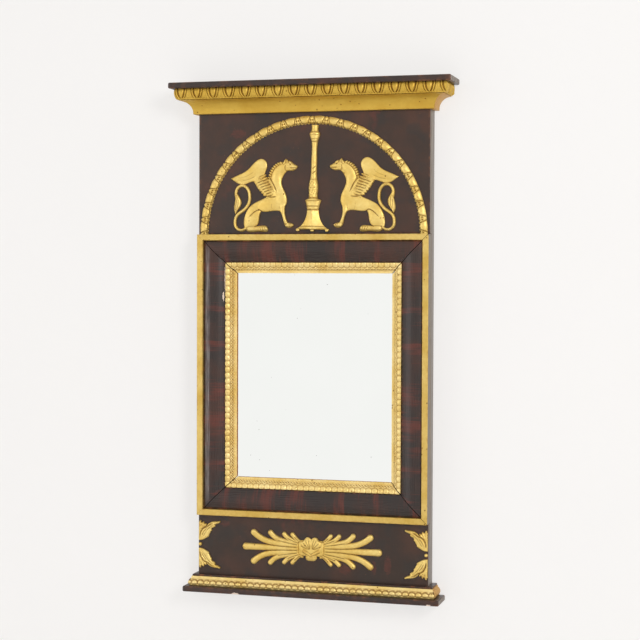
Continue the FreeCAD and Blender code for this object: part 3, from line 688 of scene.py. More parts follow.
class Repeater:
    """Lays copies of one mesh in a row or round a centre, by geometry nodes."""

    INPUTS = {"Geometry": "Geometry", "Count": "Int", "Start": "Vector", "Step": "Vector",
              "First Turn": "Vector", "Turn": "Vector", "Merge": "Float", "Material": "Material"}

    def __init__(self) -> None:
        """Build the tree."""
        tree = bpy.data.node_groups.new("repeat_in_row", "GeometryNodeTree")
        for label, kind in self.INPUTS.items():
            tree.interface.new_socket(label, in_out="INPUT", socket_type=f"NodeSocket{kind}")
        tree.interface.new_socket("Geometry", in_out="OUTPUT", socket_type="NodeSocketGeometry")
        bench = Bench(tree)
        given = bench.add("NodeGroupInput").outputs
        index = bench.add("GeometryNodeInputIndex").outputs[0]
        spread = {0: given["Step"], 1: index, 2: given["Start"]}
        place = bench.add("ShaderNodeVectorMath", spread, operation="MULTIPLY_ADD").outputs[0]
        turns = {0: given["Turn"], 1: index, 2: given["First Turn"]}
        turn = bench.add("ShaderNodeVectorMath", turns, operation="MULTIPLY_ADD").outputs[0]
        spots = bench.add("GeometryNodePoints", {"Count": given["Count"], "Position": place}).outputs[0]
        spin = bench.add("FunctionNodeEulerToRotation", {0: turn}).outputs[0]
        copies = bench.add("GeometryNodeInstanceOnPoints",
                           {"Points": spots, "Instance": given["Geometry"], "Rotation": spin})
        real = bench.add("GeometryNodeRealizeInstances", {0: copies.outputs[0]}).outputs[0]
        merged = bench.add("GeometryNodeMergeByDistance", {"Geometry": real, "Distance": given["Merge"]})
        dressed = bench.add("GeometryNodeSetMaterial",
                            {"Geometry": merged.outputs[0], "Material": given["Material"]})
        bench.add("NodeGroupOutput", {0: dressed.outputs[0]})
        self.tree = tree

    def run(self, unit: Mesh, material: Material, count: int, start: Triple = ORIGIN, step: Triple = ORIGIN,
            first_turn: Triple = ORIGIN, turn: Triple = ORIGIN) -> Mesh:
        """Lay the copies.

        Args:
            unit: The mesh that repeats.
            material: What the row is finished in.
            count: How many copies there are.
            start: Where the first copy is.
            step: The way from each copy to the next.
            first_turn: The first copy's angles about the axes.
            turn: How much further each copy is turned than the one before.

        Returns:
            A plain mesh of the whole row.
        """
        holder = bpy.data.objects.new(unit.name, unit)
        bpy.context.scene.collection.objects.link(holder)
        modifier = holder.modifiers.new("row", "NODES")
        modifier.node_group = self.tree
        values = {"Count": count, "Start": start, "Step": step, "First Turn": first_turn, "Turn": turn,
                  "Merge": MERGE * 5, "Material": material}
        for item in self.tree.interface.items_tree:
            if item.in_out == "INPUT" and item.name in values:
                modifier[item.identifier] = values[item.name]
        graph = bpy.context.evaluated_depsgraph_get()
        row = bpy.data.meshes.new_from_object(holder.evaluated_get(graph))
        bpy.data.objects.remove(holder)
        return row


@dataclass(frozen=True)
class Finish:
    """A material, and the record's slot that it stands in."""

    material: Material
    slot: Slot


class Workshop:
    """Turns finished meshes into named pieces that ride on a body."""

    def __init__(self) -> None:
        """Make the finishes that the pieces share."""
        effects = Effects()
        self.repeater = Repeater()
        gilt = {
            "gilding": {},
            # A paler copy: painted light on the sight edge and the base front.
            "sight_gilding": {"leaf": srgb(232, 200, 118), "pale": srgb(250, 226, 158),
                              "deep": srgb(204, 167, 88), "grime": srgb(128, 82, 20)},
            # A darker, more saturated copy for the cornice and its eggs.
            "cornice_gilding": {"leaf": srgb(194, 155, 58), "pale": srgb(208, 172, 74),
                                "deep": srgb(174, 129, 40), "grime": srgb(118, 72, 8), "mottle": 0.15},
            # A brighter, more metallic copy: painted highlights on the castings.
            "casting_gilding": {"leaf": srgb(224, 189, 99), "pale": srgb(240, 212, 131),
                                "deep": srgb(202, 161, 74), "metallic": 0.55},
            "bronzed_returns": {"leaf": srgb(198, 150, 74), "pale": srgb(206, 162, 88),
                                "deep": srgb(178, 126, 54), "metallic": 0.3, "specular": 0.06},
        }
        self.gilding, self.sight_gilding, self.cornice_gilding, self.casting_gilding, self.bronzing = [
            Finish(Gilding(name, **tones).material(effects), Slot.GILDING) for name, tones in gilt.items()]
        paints = (
            DarkPaint("dark_paint", black=srgb(52, 37, 28), brown=srgb(72, 45, 32), red_share=0.42, smudges=(
                ((130, -33, -728), (7, 6, 18)), ((107, -33, -733), (5, 6, 14)), ((58, -33, -739), (12, 6, 9)),
                ((-150, -33, -672), (10, 6, 6)), ((-128, -33, -20), (16, 6, 9)))),
            DarkPaint("edge_paint", red_share=0.25, chips=(
                ((-125, -53, -786), (8, 4, 4.5)), ((202, -53, -786), (5, 4, 3.5)))),
            # The grained paint carries a painted sheen band on the left rail.
            DarkPaint("grained_dark_paint", grained=True, red_share=0.7, gloss=(0.24, 0.36),
                      sheen_band=(-184.5, -174.5), chips=(
                          ((-154, -32, -291), (1.7, 6, 10)), ((-151.6, -31, -262), (0.7, 5, 26)))),
        )
        self.paint, self.edge_paint, self.grained_paint = [
            Finish(paint.material(effects), Slot.DARK_PAINT) for paint in paints]
        self.upright_pine = Finish(Pine("upright_pine", Grain.UPRIGHT).material(effects), Slot.PINE)
        self.level_pine = Finish(Pine("level_pine", Grain.ACROSS).material(effects), Slot.PINE)
        self.iron = Finish(Iron().material(), Slot.IRON)
        self.mirror = Finish(Silvering().material(effects), Slot.GLASS)
        self.count = 0

    def add(self, name: str, mesh: Mesh, finish: Finish, *replaces: str, body: Body = Body.MIRROR) -> None:
        """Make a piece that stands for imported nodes.

        Args:
            name: The piece's name.
            mesh: Its finished mesh, with its place in it.
            finish: Its finish.
            replaces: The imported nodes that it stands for.
            body: The body that it rides on.
        """
        mesh.materials.clear()
        mesh.materials.append(finish.material)
        piece = bpy.data.objects.new(name, mesh)
        bpy.context.scene.collection.objects.link(piece)
        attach(piece, body.value)
        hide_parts(*replaces)
        self.count += 1
        LOG.info("%s: %d faces, for %s", name, len(mesh.polygons), ", ".join(replaces))

    def dress(self, node: str, finish: Finish) -> None:
        """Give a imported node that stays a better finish."""
        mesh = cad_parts[node].data
        mesh.materials.clear()
        mesh.materials.append(finish.material)
        LOG.info("%s: packed shape kept, finished in %s", node, finish.material.name)


def arc(start: Point, end: Point, radius: float, side: int, steps: int = 12) -> list[Point]:
    """Points of an arc from start to end.

    Args:
        start: First point.
        end: Last point.
        radius: The arc's radius.
        side: 1 where the arc bulges to the right of its way, -1 to the left.
        steps: How many chords it has.

    Returns:
        The points, with both ends.
    """
    first, last = Vector(start), Vector(end)
    chord = last - first
    normal = Vector((chord.y, -chord.x)).normalized() * side
    centre = (first + last) / 2 - normal * math.sqrt(radius ** 2 - chord.length_squared / 4)
    opening = (first - centre).angle_signed(last - centre)
    points = []
    for step in range(steps + 1):
        spoke = first - centre
        spoke.rotate(Matrix.Rotation(-opening * step / steps, 2))
        points.append(tuple(centre + spoke))
    return points


def soften(corners: Sequence[Point], radius: float, steps: int = 3,
           most: float = 0.45) -> tuple[Array, Array]:
    """Round the sharp corners of a closed section.

    Args:
        corners: The section's points, in order.
        radius: How far from a corner the rounding starts.
        steps: How many chords each rounding has.
        most: The greatest share of a side that a rounding takes.

    Returns:
        The new points, and for each how far it is rubbed.
    """
    points, worn = [], []
    ring = [Vector(corner) for corner in corners]
    for before, here, after in zip(ring[-1:] + ring[:-1], ring, ring[1:] + ring[:1]):
        if (here - before).angle(after - here) < FLAT_BEND:
            points.append(tuple(here))
            worn.append(0.0)
            continue
        start, end = [here + (near - here) * min(radius / (near - here).length, most)
                      for near in (before, after)]
        bend = [tuple(start.lerp(here, share).lerp(here.lerp(end, share), share))
                for share in np.linspace(0, 1, steps + 1)]
        guards = [[tuple(here + (near - here).normalized() * 2.5 * radius)]
                  if (near - here).length > 6 * radius else [] for near in (before, after)]
        points += guards[0] + bend + guards[1]
        worn += [0.0] * len(guards[0]) + [1.0] * len(bend) + [0.0] * len(guards[1])
    return np.array(points), np.array(worn)


def mark_faces(mesh: Mesh, mark: str, test: Callable[[Vector], bool]) -> None:
    """Paint 1 on the faces whose outward direction passes a test, and 0 on the others."""
    layer = mesh.attributes.new(mark, "FLOAT", "FACE")
    layer.data.foreach_set("value", [float(test(face.normal)) for face in mesh.polygons])


def mark_mitres(mesh: Mesh, place: Matrix, slope: int) -> None:
    """Mark a length's mitred ends, which the finishes paint dark as painted shade in the open mitre."""
    ends = [(place.to_3x3() @ Vector((-slope, end, 0))).normalized() for end in (-1, 1)]
    mark_faces(mesh, "cut", lambda normal: any(normal.dot(end) > 0.999 for end in ends))


def carved(mesh: Mesh, amount: float = 0.22 * MM, size: float = 6 * MM) -> Mesh:
    """Make a closed row's points uneven, as carving by hand leaves them."""
    for vertex in mesh.vertices:
        vertex.co += noise.noise_vector(vertex.co / size) * amount
    return mesh


def lay(corner: Triple, across: Triple, along: Triple, rise: Triple) -> Matrix:
    """The placing of a moulding by where its width, length and rise point."""
    return Matrix.Translation(corner) @ Matrix((across, along, rise)).transposed().to_4x4()


@dataclass
class Strip:
    """One plain length of moulding, mitred at both ends or at the far one only."""

    section: Array
    worn: Array
    half: float
    slope: int
    gaps: Point = (0.0, 0.0)
    one_ended: bool = False
    painted_edge: bool = False
    spacing: float = 14 * MM
    waver: float = 0.09 * MM
    sway_length: float = 50 * MM

    def mesh(self, name: str, place: Matrix) -> Mesh:
        """Build the length in its place.

        Args:
            name: The mesh's name.
            place: Where its width, length and rise point.

        Returns:
            The closed mesh.
        """
        first = 0.0 if self.one_ended else -1.0
        stations = np.linspace(first, 1.0, max(4, int((1 - first) * self.half / self.spacing)))
        across, rise = self.section[:, 0], self.section[:, 1]
        seed = (place.translation.x * 9, self.half * 7)
        rows, flat = [], []
        for station in stations:
            length = station * (self.half + self.slope * across - self.gaps[int(station > 0)])
            sway = noise.noise(Vector((station * self.half / self.sway_length, *seed)))
            lift = rise + self.waver * sway * rise / rise.max()
            rows.append(np.column_stack([across, length, lift]))
            flat.append(np.column_stack([length, across]))
        mesh = make_mesh(name, np.vstack(rows), tube_faces(len(stations), len(self.section)),
                         {"worn": np.tile(self.worn, len(stations))}, np.vstack(flat))
        mesh.transform(place)
        close_mesh(mesh)
        mark_mitres(mesh, place, self.slope)
        if self.painted_edge:
            outer = place.to_3x3() @ Vector((-1, 0, 0))
            mark_faces(mesh, "painted", lambda normal: normal.dot(outer) > FACING)
        return mesh


@dataclass
class TileRow:
    """A carved length of moulding: one repeat of its pattern, laid in a row and mitred."""

    face: Array
    back: Array
    pitch: float
    relief: Callable[[Array, Array], Array]
    bed: float
    steps: int
    shift: float = 0.0

    def unit(self, name: str, bend: Callable[[Array], Array] | None = None) -> Mesh:
        """One repeat, along the second axis.

        Args:
            name: The mesh's name.
            bend: Moves the points, where the row isn't straight.

        Returns:
            An open tube of the whole section.
        """
        runs = np.diff(self.face, axis=0)
        spans = np.concatenate([[0], np.cumsum(np.hypot(*runs.T))])
        slopes = np.gradient(self.face, spans, axis=0)
        normals = np.column_stack([-slopes[:, 1], slopes[:, 0]])
        share = spans / spans[-1]
        size = len(self.face) + len(self.back)
        plain = np.zeros(len(self.back))
        rows, hollow, worn = [], [], []
        for step in range(self.steps + 1):
            turn = step / self.steps
            lift = self.relief(share, np.full(len(share), turn))
            face = self.face + normals * (lift - self.bed)[:, None]
            loop = np.vstack([face, self.back])
            rows.append(np.column_stack([loop[:, 0], np.full(size, turn * self.pitch), loop[:, 1]]))
            level = lift / max(self.bed, MM / 10)
            # Lower parts of the carving are marked hollow, where the finish darkens them: dirt and painted
            # shade.
            hollow += [np.clip(1 - level, 0, 1), plain]
            worn += [np.clip(level - 0.9, 0, 1), plain]
        points = np.vstack(rows)
        if bend:
            points = bend(points)
        marks = {"hollow": np.concatenate(hollow), "worn": np.concatenate(worn)}
        return make_mesh(name, points, tube_faces(self.steps + 1, size, ends=False), marks)

    def mesh(self, name: str, shop: Workshop, place: Matrix, half: float, slope: int,
             gap: float, reach: float, to_wall: bool = False) -> Mesh:
        """The whole length in its place.

        Args:
            name: The mesh's name.
            shop: Where the repeats are laid.
            place: Where its width, length and rise point.
            half: Half the length at the section's near edge.
            slope: 1 where it is longer at its far edge, -1 where it is shorter.
            gap: How far each mitre stands open.
            reach: How far the row has to run from the middle.
            to_wall: True where only the far half is kept, with a square end at the middle.

        Returns:
            The closed mesh.
        """
        count = 2 * math.ceil((reach + abs(self.shift)) / self.pitch - 0.5) + 1
        start = (0.0, self.shift - count * self.pitch / 2, 0.0)
        row = shop.repeater.run(self.unit(name), shop.gilding.material, count, start, (0.0, self.pitch, 0.0))
        planes = [(Vector((0, end * (half - gap), 0)), Vector((-slope, end, 0)).normalized())
                  for end in (-1, 1)]
        if to_wall:
            planes[0] = (Vector((0, 0, 0)), Vector((0, -1, 0)))
        cut_ends(row, planes)
        row.transform(place)
        close_mesh(row, CARVED_SHARP)
        mark_mitres(row, place, slope)
        return carved(row)


@dataclass
class Board:
    """A planed board with softened arrises, chipped here and there."""

    low: Vector
    high: Vector
    rounding: float = 0.7 * MM
    chips: Sequence[tuple[Vector, Vector]] = ()
    edge_band: float = 1.3 * MM
    longest: float = 40 * MM
    shortest: float = 0.12 * MM
    chip_steps: int = 13
    chip_grain: float = 2.2 * MM

    def _ticks(self, axis: int) -> Array:
        """Where the board is divided along one axis."""
        length = self.high[axis] - self.low[axis]
        near = [0.0, self.rounding * 0.3, self.rounding, self.rounding + 2.5 * self.edge_band]
        ticks = [t for t in near if t < length / 2] + [length - t for t in near if t < length / 2]
        count = int(length / self.longest)
        ticks += [length * step / (count + 1) for step in range(1, count + 1)]
        for middle, reach in self.chips:
            spot = middle[axis] - self.low[axis]
            steps = np.linspace(spot - reach[axis], spot + reach[axis], self.chip_steps)
            ticks += [t for t in steps if 0 < t < length]
        ticks = np.unique(np.round(np.array(ticks), 6))
        return ticks[np.concatenate([[True], np.diff(ticks) > self.shortest])] + self.low[axis]

    def _sheets(self) -> tuple[Array, list]:
        """The points and faces of the six sides, still square."""
        ticks = [self._ticks(axis) for axis in range(3)]
        sheets, faces, base = [], [], 0
        for axis in range(3):
            first, second = [other for other in range(3) if other != axis]
            across, up = np.meshgrid(ticks[first], ticks[second])
            high, wide = across.shape
            for level in (self.low[axis], self.high[axis]):
                sheet = np.full((across.size, 3), level)
                sheet[:, first], sheet[:, second] = across.ravel(), up.ravel()
                corners = [base + r * wide + c for r in range(high - 1) for c in range(wide - 1)]
                faces += [[corner, corner + 1, corner + wide + 1, corner + wide] for corner in corners]
                sheets.append(sheet)
                base += across.size
        return np.vstack(sheets), faces

    def _chip(self, points: Array) -> None:
        """Break the board's edge where it is chipped."""
        inward = (np.array(self.low) + np.array(self.high)) / 2
        for middle, reach in self.chips:
            spot, span = np.array(middle), np.array(reach)
            depth = 1 - np.linalg.norm((points - spot) / span, axis=1)
            hit = depth > 0
            way = inward - spot
            way[0] = 0.0
            way = way / np.linalg.norm(way)
            rag = np.array([noise.noise(Vector(p) / self.chip_grain) for p in points[hit]])
            points[hit] += way * (depth[hit] * (0.75 + 0.5 * rag) * span[1:].min())[:, None]

    def mesh(self, name: str, marked: dict[str, Callable[[Vector], bool]] | None = None) -> Mesh:
        """Build the board.

        Args:
            name: The mesh's name.
            marked: For each mark, a test of a face's outward direction that says where it is painted.

        Returns:
            The closed mesh.
        """
        points, faces = self._sheets()
        low, high = np.array(self.low), np.array(self.high)
        depths = np.sort(np.minimum(points - low, high - points), axis=1)
        worn = np.exp(-np.hypot(depths[:, 0], depths[:, 1]) / self.edge_band)
        core = np.clip(points, low + self.rounding, high - self.rounding)
        off = points - core
        lengths = np.linalg.norm(off, axis=1, keepdims=True)
        points = core + off / np.maximum(lengths, 1e-9) * np.minimum(lengths, self.rounding)
        self._chip(points)
        mesh = close_mesh(make_mesh(name, points, faces, {"worn": worn}))
        for mark, test in (marked or {}).items():
            mark_faces(mesh, mark, test)
        return mesh


def smooth_run(points: Sequence[Point], spacing: float = 0.8) -> Array:
    """A natural cubic curve through points.

    Args:
        points: The points, in order.
        spacing: About how far apart the curve's own points are.

    Returns:
        One row of two coordinates for each point of the curve.
    """
    knots = np.array(points, float)
    spans = np.hypot(*np.diff(knots, axis=0).T)
    times = np.concatenate([[0], np.cumsum(spans)])
    system = np.eye(len(knots))
    bends = np.zeros_like(knots)
    for i in range(1, len(knots) - 1):
        system[i, i - 1:i + 2] = spans[i - 1], 2 * (spans[i - 1] + spans[i]), spans[i]
        bends[i] = 6 * ((knots[i + 1] - knots[i]) / spans[i] - (knots[i] - knots[i - 1]) / spans[i - 1])
    second = np.linalg.solve(system, bends)
    where = np.linspace(0, times[-1], max(2, int(times[-1] / spacing) + 1))
    i = np.clip(np.searchsorted(times, where, side="right") - 1, 0, len(spans) - 1)
    span, after, before = spans[i, None], (where - times[i])[:, None], (times[i + 1] - where)[:, None]
    return ((second[i] * before ** 3 + second[i + 1] * after ** 3) / (6 * span)
            + (knots[i] / span - second[i] * span / 6) * before
            + (knots[i + 1] / span - second[i + 1] * span / 6) * after)


def node_outline(node: str) -> Array:
    """The edge of a packed casting's flat back, as pairs of points across and up, in metres."""
    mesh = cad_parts[node].data
    spots = [tuple(round(number, 6) for number in vertex.co) for vertex in mesh.vertices]
    back = max(spot[1] for spot in spots)
    uses: dict[tuple, int] = {}
    for face in mesh.polygons:
        ring = [spots[index] for index in face.vertices]
        if all(abs(spot[1] - back) < MERGE * 2 for spot in ring):
            for pair in zip(ring, ring[1:] + ring[:1]):
                key = tuple(sorted(pair))
                uses[key] = uses.get(key, 0) + 1
    return np.array([[(a[0], a[2]), (b[0], b[2])] for (a, b), count in uses.items() if count == 1])


def smooth_max(first: Array, second: Array, blend: float) -> Array:
    """The greater of two heights, with a soft seam."""
    near = np.clip(blend - np.abs(first - second), 0, None) / blend
    return np.maximum(first, second) + near ** 2 * blend / 4


class Relief:
    """A casting with a flat back, as heights over a grid, in drawn millimetres."""

    SLIVER = 0.04
    BLUR = 10

    def __init__(self, node: str, origin: Point, scale: Point = (1.0, 1.0), lean: float = 0.0,
                 step: float = 0.5) -> None:
        """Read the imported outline.

        Args:
            node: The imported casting.
            origin: Where the drawing's origin is, across and up, in metres.
            scale: The casting's size for each drawn millimetre, across and up.
            lean: How far the drawing leans to the right, in radians.
            step: The grid's spacing.
        """
        self.origin, self.scale = np.array(origin), np.array(scale)
        self.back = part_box(node)[1].y
        self.turn = np.array([[math.cos(lean), math.sin(lean)], [-math.sin(lean), math.cos(lean)]])
        edges = (node_outline(node) - self.origin) / MM @ self.turn / self.scale
        low, high = edges.reshape(-1, 2).min(0) - 3, edges.reshape(-1, 2).max(0) + 3
        self.u, self.v = np.meshgrid(np.arange(low[0], high[0], step), np.arange(low[1], high[1], step))
        self.depth = self._inside(edges)
        self.height = np.zeros_like(self.u)
        # How much each point darkens: dirt and painted shade in grooves and gaps.
        self.dirt = np.zeros_like(self.u)

    def _from_segment(self, start: Point, end: Point) -> tuple[Array, Array]:
        """How far each grid point is from a straight line, and the share of it that it is beside."""
        du, dv = end[0] - start[0], end[1] - start[1]
        across, up = self.u - start[0], self.v - start[1]
        share = np.clip((across * du + up * dv) / (du * du + dv * dv + 1e-12), 0, 1)
        return np.hypot(across - share * du, up - share * dv), share

    def _inside(self, edges: Array) -> Array:
        """How far each grid point is inside the outline, below 0 outside."""
        nearest = np.full(self.u.shape, 1e9)
        inside = np.zeros(self.u.shape, bool)
        for start, end in edges:
            nearest = np.minimum(nearest, self._from_segment(start, end)[0])
            (u0, v0), (u1, v1) = start, end
            if v0 != v1:
                crosses = (self.v < v0) != (self.v < v1)
                inside ^= crosses & (self.u < u0 + (self.v - v0) * (u1 - u0) / (v1 - v0))
        return np.where(inside, 1, -1) * nearest

    def along(self, points: Sequence[Point], radii: Sequence[float]) -> tuple[Array, Array]:
        """How near each grid point is to a curve.

        Args:
            points: The curve's points.
            radii: The curve's half width at each of them.

        Returns:
            The distance as a share of the half width, and the share of the curve's length.
        """
        line = smooth_run(points)
        marks = np.linspace(0, 1, len(points))
        nearest, share = np.full(self.u.shape, 1e9), np.zeros_like(self.u)
        for i, (start, end) in enumerate(zip(line[:-1], line[1:])):
            away, part = self._from_segment(start, end)
            spot = (i + part) / (len(line) - 1)
            away = away / np.interp(spot, marks, radii)
            share = np.where(away < nearest, spot, share)
            nearest = np.minimum(nearest, away)
        return nearest, share

    def pillow(self, top: float, rounding: float) -> None:
        """Fill the whole outline to a height that rolls over at its edge."""
        share = 1 - np.clip(self.depth / rounding, 0, 1)
        self.height = smooth_max(self.height, top * np.sqrt(1 - share ** 2), 0.4)

    def ellipse(self, centre: Point, axes: Point, tilt: float, top: float, blend: float = 1.2) -> None:
        """Raise a rounded form; tilt is in degrees."""
        turn = math.radians(tilt)
        u, v = self.u - centre[0], self.v - centre[1]
        across = (u * math.cos(turn) + v * math.sin(turn)) / axes[0]
        up = (v * math.cos(turn) - u * math.sin(turn)) / axes[1]
        dome = top * np.sqrt(np.clip(1 - across ** 2 - up ** 2, 0, 1))
        self.height = smooth_max(self.height, dome, blend)

    def strand(self, points: Sequence[Point], radii: Sequence[float], top: float, blend: float = 0.8,
               spreads: bool = False, power: float = 2.0) -> None:
        """Raise a round strand along a curve, past the outline where it spreads, flatter at higher powers."""
        away, _ = self.along(points, radii)
        self.height = smooth_max(self.height, top * np.sqrt(np.clip(1 - away ** power, 0, 1)), blend)
        if spreads:
            self.depth = np.maximum(self.depth, (1 - away) * max(radii))

    def groove(self, points: Sequence[Point], width: float, depth: float) -> None:
        """Cut a soft line that dies out at its ends, or raise one where depth is below 0."""
        away, share = self.along(points, [width] * len(points))
        cut = np.exp(-away ** 2) * np.clip(np.sin(math.pi * np.clip(share, 0.04, 0.96)) * 2.5, 0, 1)
        self.height -= depth * cut
        # The groove darkens: dirt and painted shade.
        self.dirt = np.maximum(self.dirt, cut * np.clip(depth * 1.4, 0, 1))

    def belt(self, low: float, high: float, rise: float) -> None:
        """Raise a level ring, or cut one where rise is below 0."""
        window = np.clip((self.v - low) / 0.7, 0, 1) * np.clip((high - self.v) / 0.7, 0, 1)
        self.height += rise * window
        # A cut ring darkens: dirt and painted shade.
        self.dirt = np.maximum(self.dirt, np.clip(-rise, 0, 1) * window)

    def scales(self, corners: Sequence[Point], size: float, tilt: float, rise: float) -> None:
        """Cover a region with overlapping small feathers."""
        ring = np.array([[corners[i - 1], corners[i]] for i in range(len(corners))], float)
        cover = np.clip(self._inside(ring) / 1.5, 0, 1)
        turn = math.radians(tilt)
        along = (self.u * math.cos(turn) + self.v * math.sin(turn)) / size
        across = (self.v * math.cos(turn) - self.u * math.sin(turn)) / size
        best = np.zeros_like(self.u)
        for shift in (0.0, 0.5):
            a = (along + shift) % 1 - 0.62
            c = (across * 1.15 + shift) % 1 - 0.5
            best = np.maximum(best, np.sqrt(np.clip(1 - (a / 0.62) ** 2 - (c / 0.56) ** 2, 0, 1)))
        self.height += rise * (best - 0.4) * cover
        # Gaps between the feathers darken: dirt and painted shade.
        self.dirt = np.maximum(self.dirt, np.clip(1 - best * 1.8, 0, 1) * cover)

    @staticmethod
    def _blurred(field_of: Array, times: int) -> Array:
        """A grid averaged with its neighbours."""
        for _ in range(times):
            field_of = (field_of + np.roll(field_of, 1, 0) + np.roll(field_of, -1, 0)
                        + np.roll(field_of, 1, 1) + np.roll(field_of, -1, 1)) / 5
        return field_of

    def mesh(self, name: str, wall: float = 0.9, edge: float = 1.6, rim_dirt: float = 1.0,
             mirror_at: float | None = None) -> Mesh:
        """Build the casting.

        Args:
            name: The mesh's name.
            wall: How high the casting's upright edge is.
            edge: How far in from the edge the front has rolled up to its height.
            rim_dirt: How dark its edge is: dirt, and painted shadow where it meets the panel.
            mirror_at: Where along X the casting is mirrored, in metres.

        Returns:
            The closed mesh.
        """
        depth = np.where(np.abs(self.depth) < self.SLIVER, -self.SLIVER, self.depth)
        roll = np.sqrt(1 - (1 - np.clip(depth / edge, 0, 1)) ** 2)
        top = wall + np.clip(self.height - wall, 0.1, None) * roll
        cloud = self._blurred(top, self.BLUR)
        # Hollows below the blurred height and marked grooves darken with dirt and painted shade; the rim
        # darkens with dirt and painted shadow.
        hollow = np.clip((cloud - top) / 0.5, 0, 1) + self.dirt * 0.8
        hollow += 0.4 * rim_dirt * np.exp(-np.clip(depth, 0, None) / 0.45)
        worn = np.clip((top - cloud) / 0.35, 0, 1) * (depth > edge)
        inside = depth > 0
        grid, faces = self._front(depth, top, wall)
        rim = len(grid) - int(inside.sum())
        marks = {"hollow": np.append(np.clip(hollow[inside], 0, 1), np.full(rim, rim_dirt)),
                 "worn": np.append(worn[inside], np.zeros(rim))}
        flat = grid[:, :2] * self.scale @ self.turn.T
        points = np.column_stack([self.origin[0] + flat[:, 0] * MM, self.back - grid[:, 2] * MM,
                                  self.origin[1] + flat[:, 1] * MM])
        if mirror_at is not None:
            points[:, 0] = 2 * mirror_at - points[:, 0]
        points, faces, sources = self._close_back(points, faces)
        painted = {mark: values[sources] for mark, values in marks.items()}
        return close_mesh(make_mesh(name, points, faces, painted), CAST_SHARP)

    def _front(self, depth: Array, top: Array, wall: float) -> tuple[Array, list]:
        """The casting's front, cut along its outline.

        Args:
            depth: How far each grid point is inside the outline.
            top: The height of each grid point.
            wall: The height of the outline.

        Returns:
            Rows of across, up and height, those of the grid before those of the outline, and the faces.
        """
        inside = depth > 0
        number = np.full(depth.shape, -1)
        number[inside] = np.arange(inside.sum())
        cells = np.stack([number[:-1, :-1], number[:-1, 1:], number[1:, 1:], number[1:, :-1]], axis=-1)
        full = (cells >= 0).all(axis=-1)
        faces = cells[full].tolist()
        spots = np.dstack([self.u, self.v])
        crossings: dict[tuple, int] = {}
        rim: list[tuple[float, float, float]] = []
        for i, j in zip(*np.nonzero((cells >= 0).any(axis=-1) & ~full)):
            ring = [(i, j), (i, j + 1), (i + 1, j + 1), (i + 1, j)]
            polygon = []
            for here, after in zip(ring, ring[1:] + ring[:1]):
                if inside[here]:
                    polygon.append(int(number[here]))
                if inside[here] == inside[after]:
                    continue
                first, second = sorted((here, after))
                if (first, second) not in crossings:
                    crossings[first, second] = int(inside.sum()) + len(rim)
                    share = depth[first] / (depth[first] - depth[second])
                    rim.append((*(spots[first] + share * (spots[second] - spots[first])), wall))
                polygon.append(crossings[first, second])
            if len(polygon) > 2:
                faces.append(polygon)
        grid = np.column_stack([self.u[inside], self.v[inside], top[inside]])
        return np.vstack([grid, rim]), faces

    def _close_back(self, points: Array, faces: list) -> tuple[Array, list, list]:
        """Carry the front's edge back to the panel and close the casting there.

        Args:
            points: The front's points.
            faces: The front's faces.

        Returns:
            All points, all faces, and the front's point that each point comes from.
        """
        uses: dict[tuple, list] = {}
        for face in faces:
            for pair in zip(face, face[1:] + face[:1]):
                uses.setdefault(tuple(sorted(pair)), []).append(pair)
        after = {pairs[0][0]: pairs[0][1] for pairs in uses.values() if len(pairs) == 1}
        sources = list(range(len(points))) + list(after)
        below = {source: len(points) + i for i, source in enumerate(after)}
        back = points[list(after)]
        back[:, 1] = self.back
        walls = [[end, start, below[start], below[end]] for start, end in after.items()]
        loops, left = [], dict(after)
        while left:
            loop = [next(iter(left))]
            while loop[-1] in left:
                loop.append(left.pop(loop[-1]))
            loops.append(loop[:-1])
        rims = [[Vector((points[i][0], points[i][2], 0.0)) for i in loop] for loop in loops]
        ring = [below[i] for loop in loops for i in loop]
        rear = [[ring[i] for i in corners] for corners in geometry.tessellate_polygon(rims)]
        return np.vstack([points, back]), faces + walls + rear, sources


@dataclass(frozen=True)
class Sections:
    """Sections of the mouldings as width and rise, in millimetres."""

    fillet: tuple = ((0, 0), (10, 0), (10, 23.7), (0, 23.7))
    cushion: tuple = ((0, 0), (37, 0), *arc((37, 11), (0, 18.5), 32.7, 1))
    cavetto: tuple = ((0, 0), (7.8, 0), *arc((7.8, 2.3), (27.8, 22.3), 20, -1), (0, 22.3))
    base: tuple = ((0, 0), *arc((11.4, 0), (9.4, 13), 8.5, 1), (9.4, 15.6), (0, 15.6))
    lip: tuple = ((0, 0), (8, 0), (8, 3), (0, 3))
    sight_face: tuple = tuple(arc((0, 13), (13.8, 3.2), 16, -1, 26))
    sight_back: tuple = ((13.8, 3.2), (17.2, 3.2), (17.2, 0), (0, 0))
    egg_face: tuple = tuple(arc((31.8, 18.2), (28.4, 0), 17, -1, 30))
    egg_back: tuple = ((28.4, 0), (0, 0), (0, 18.2), (31.8, 18.2))
    base_face: tuple = ((9.4, 15.6), *arc((9.4, 13), (11.4, 0), 8.5, -1, 24))
    base_back: tuple = ((11.4, 0), (0, 0), (0, 15.6))


def ramp(value: Array, low: float, high: float) -> Array:
    """0 below low, 1 above high and smooth between."""
    share = np.clip((value - low) / (high - low), 0, 1)
    return share * share * (3 - 2 * share)


def bell(value: Array, width: float) -> Array:
    """1 at 0, falling away over a width."""
    return np.exp(-(value / width) ** 2)


def dome(share: Array) -> Array:
    """A half circle over -1 to 1."""
    return np.sqrt(np.clip(1 - share ** 2, 0, 1))


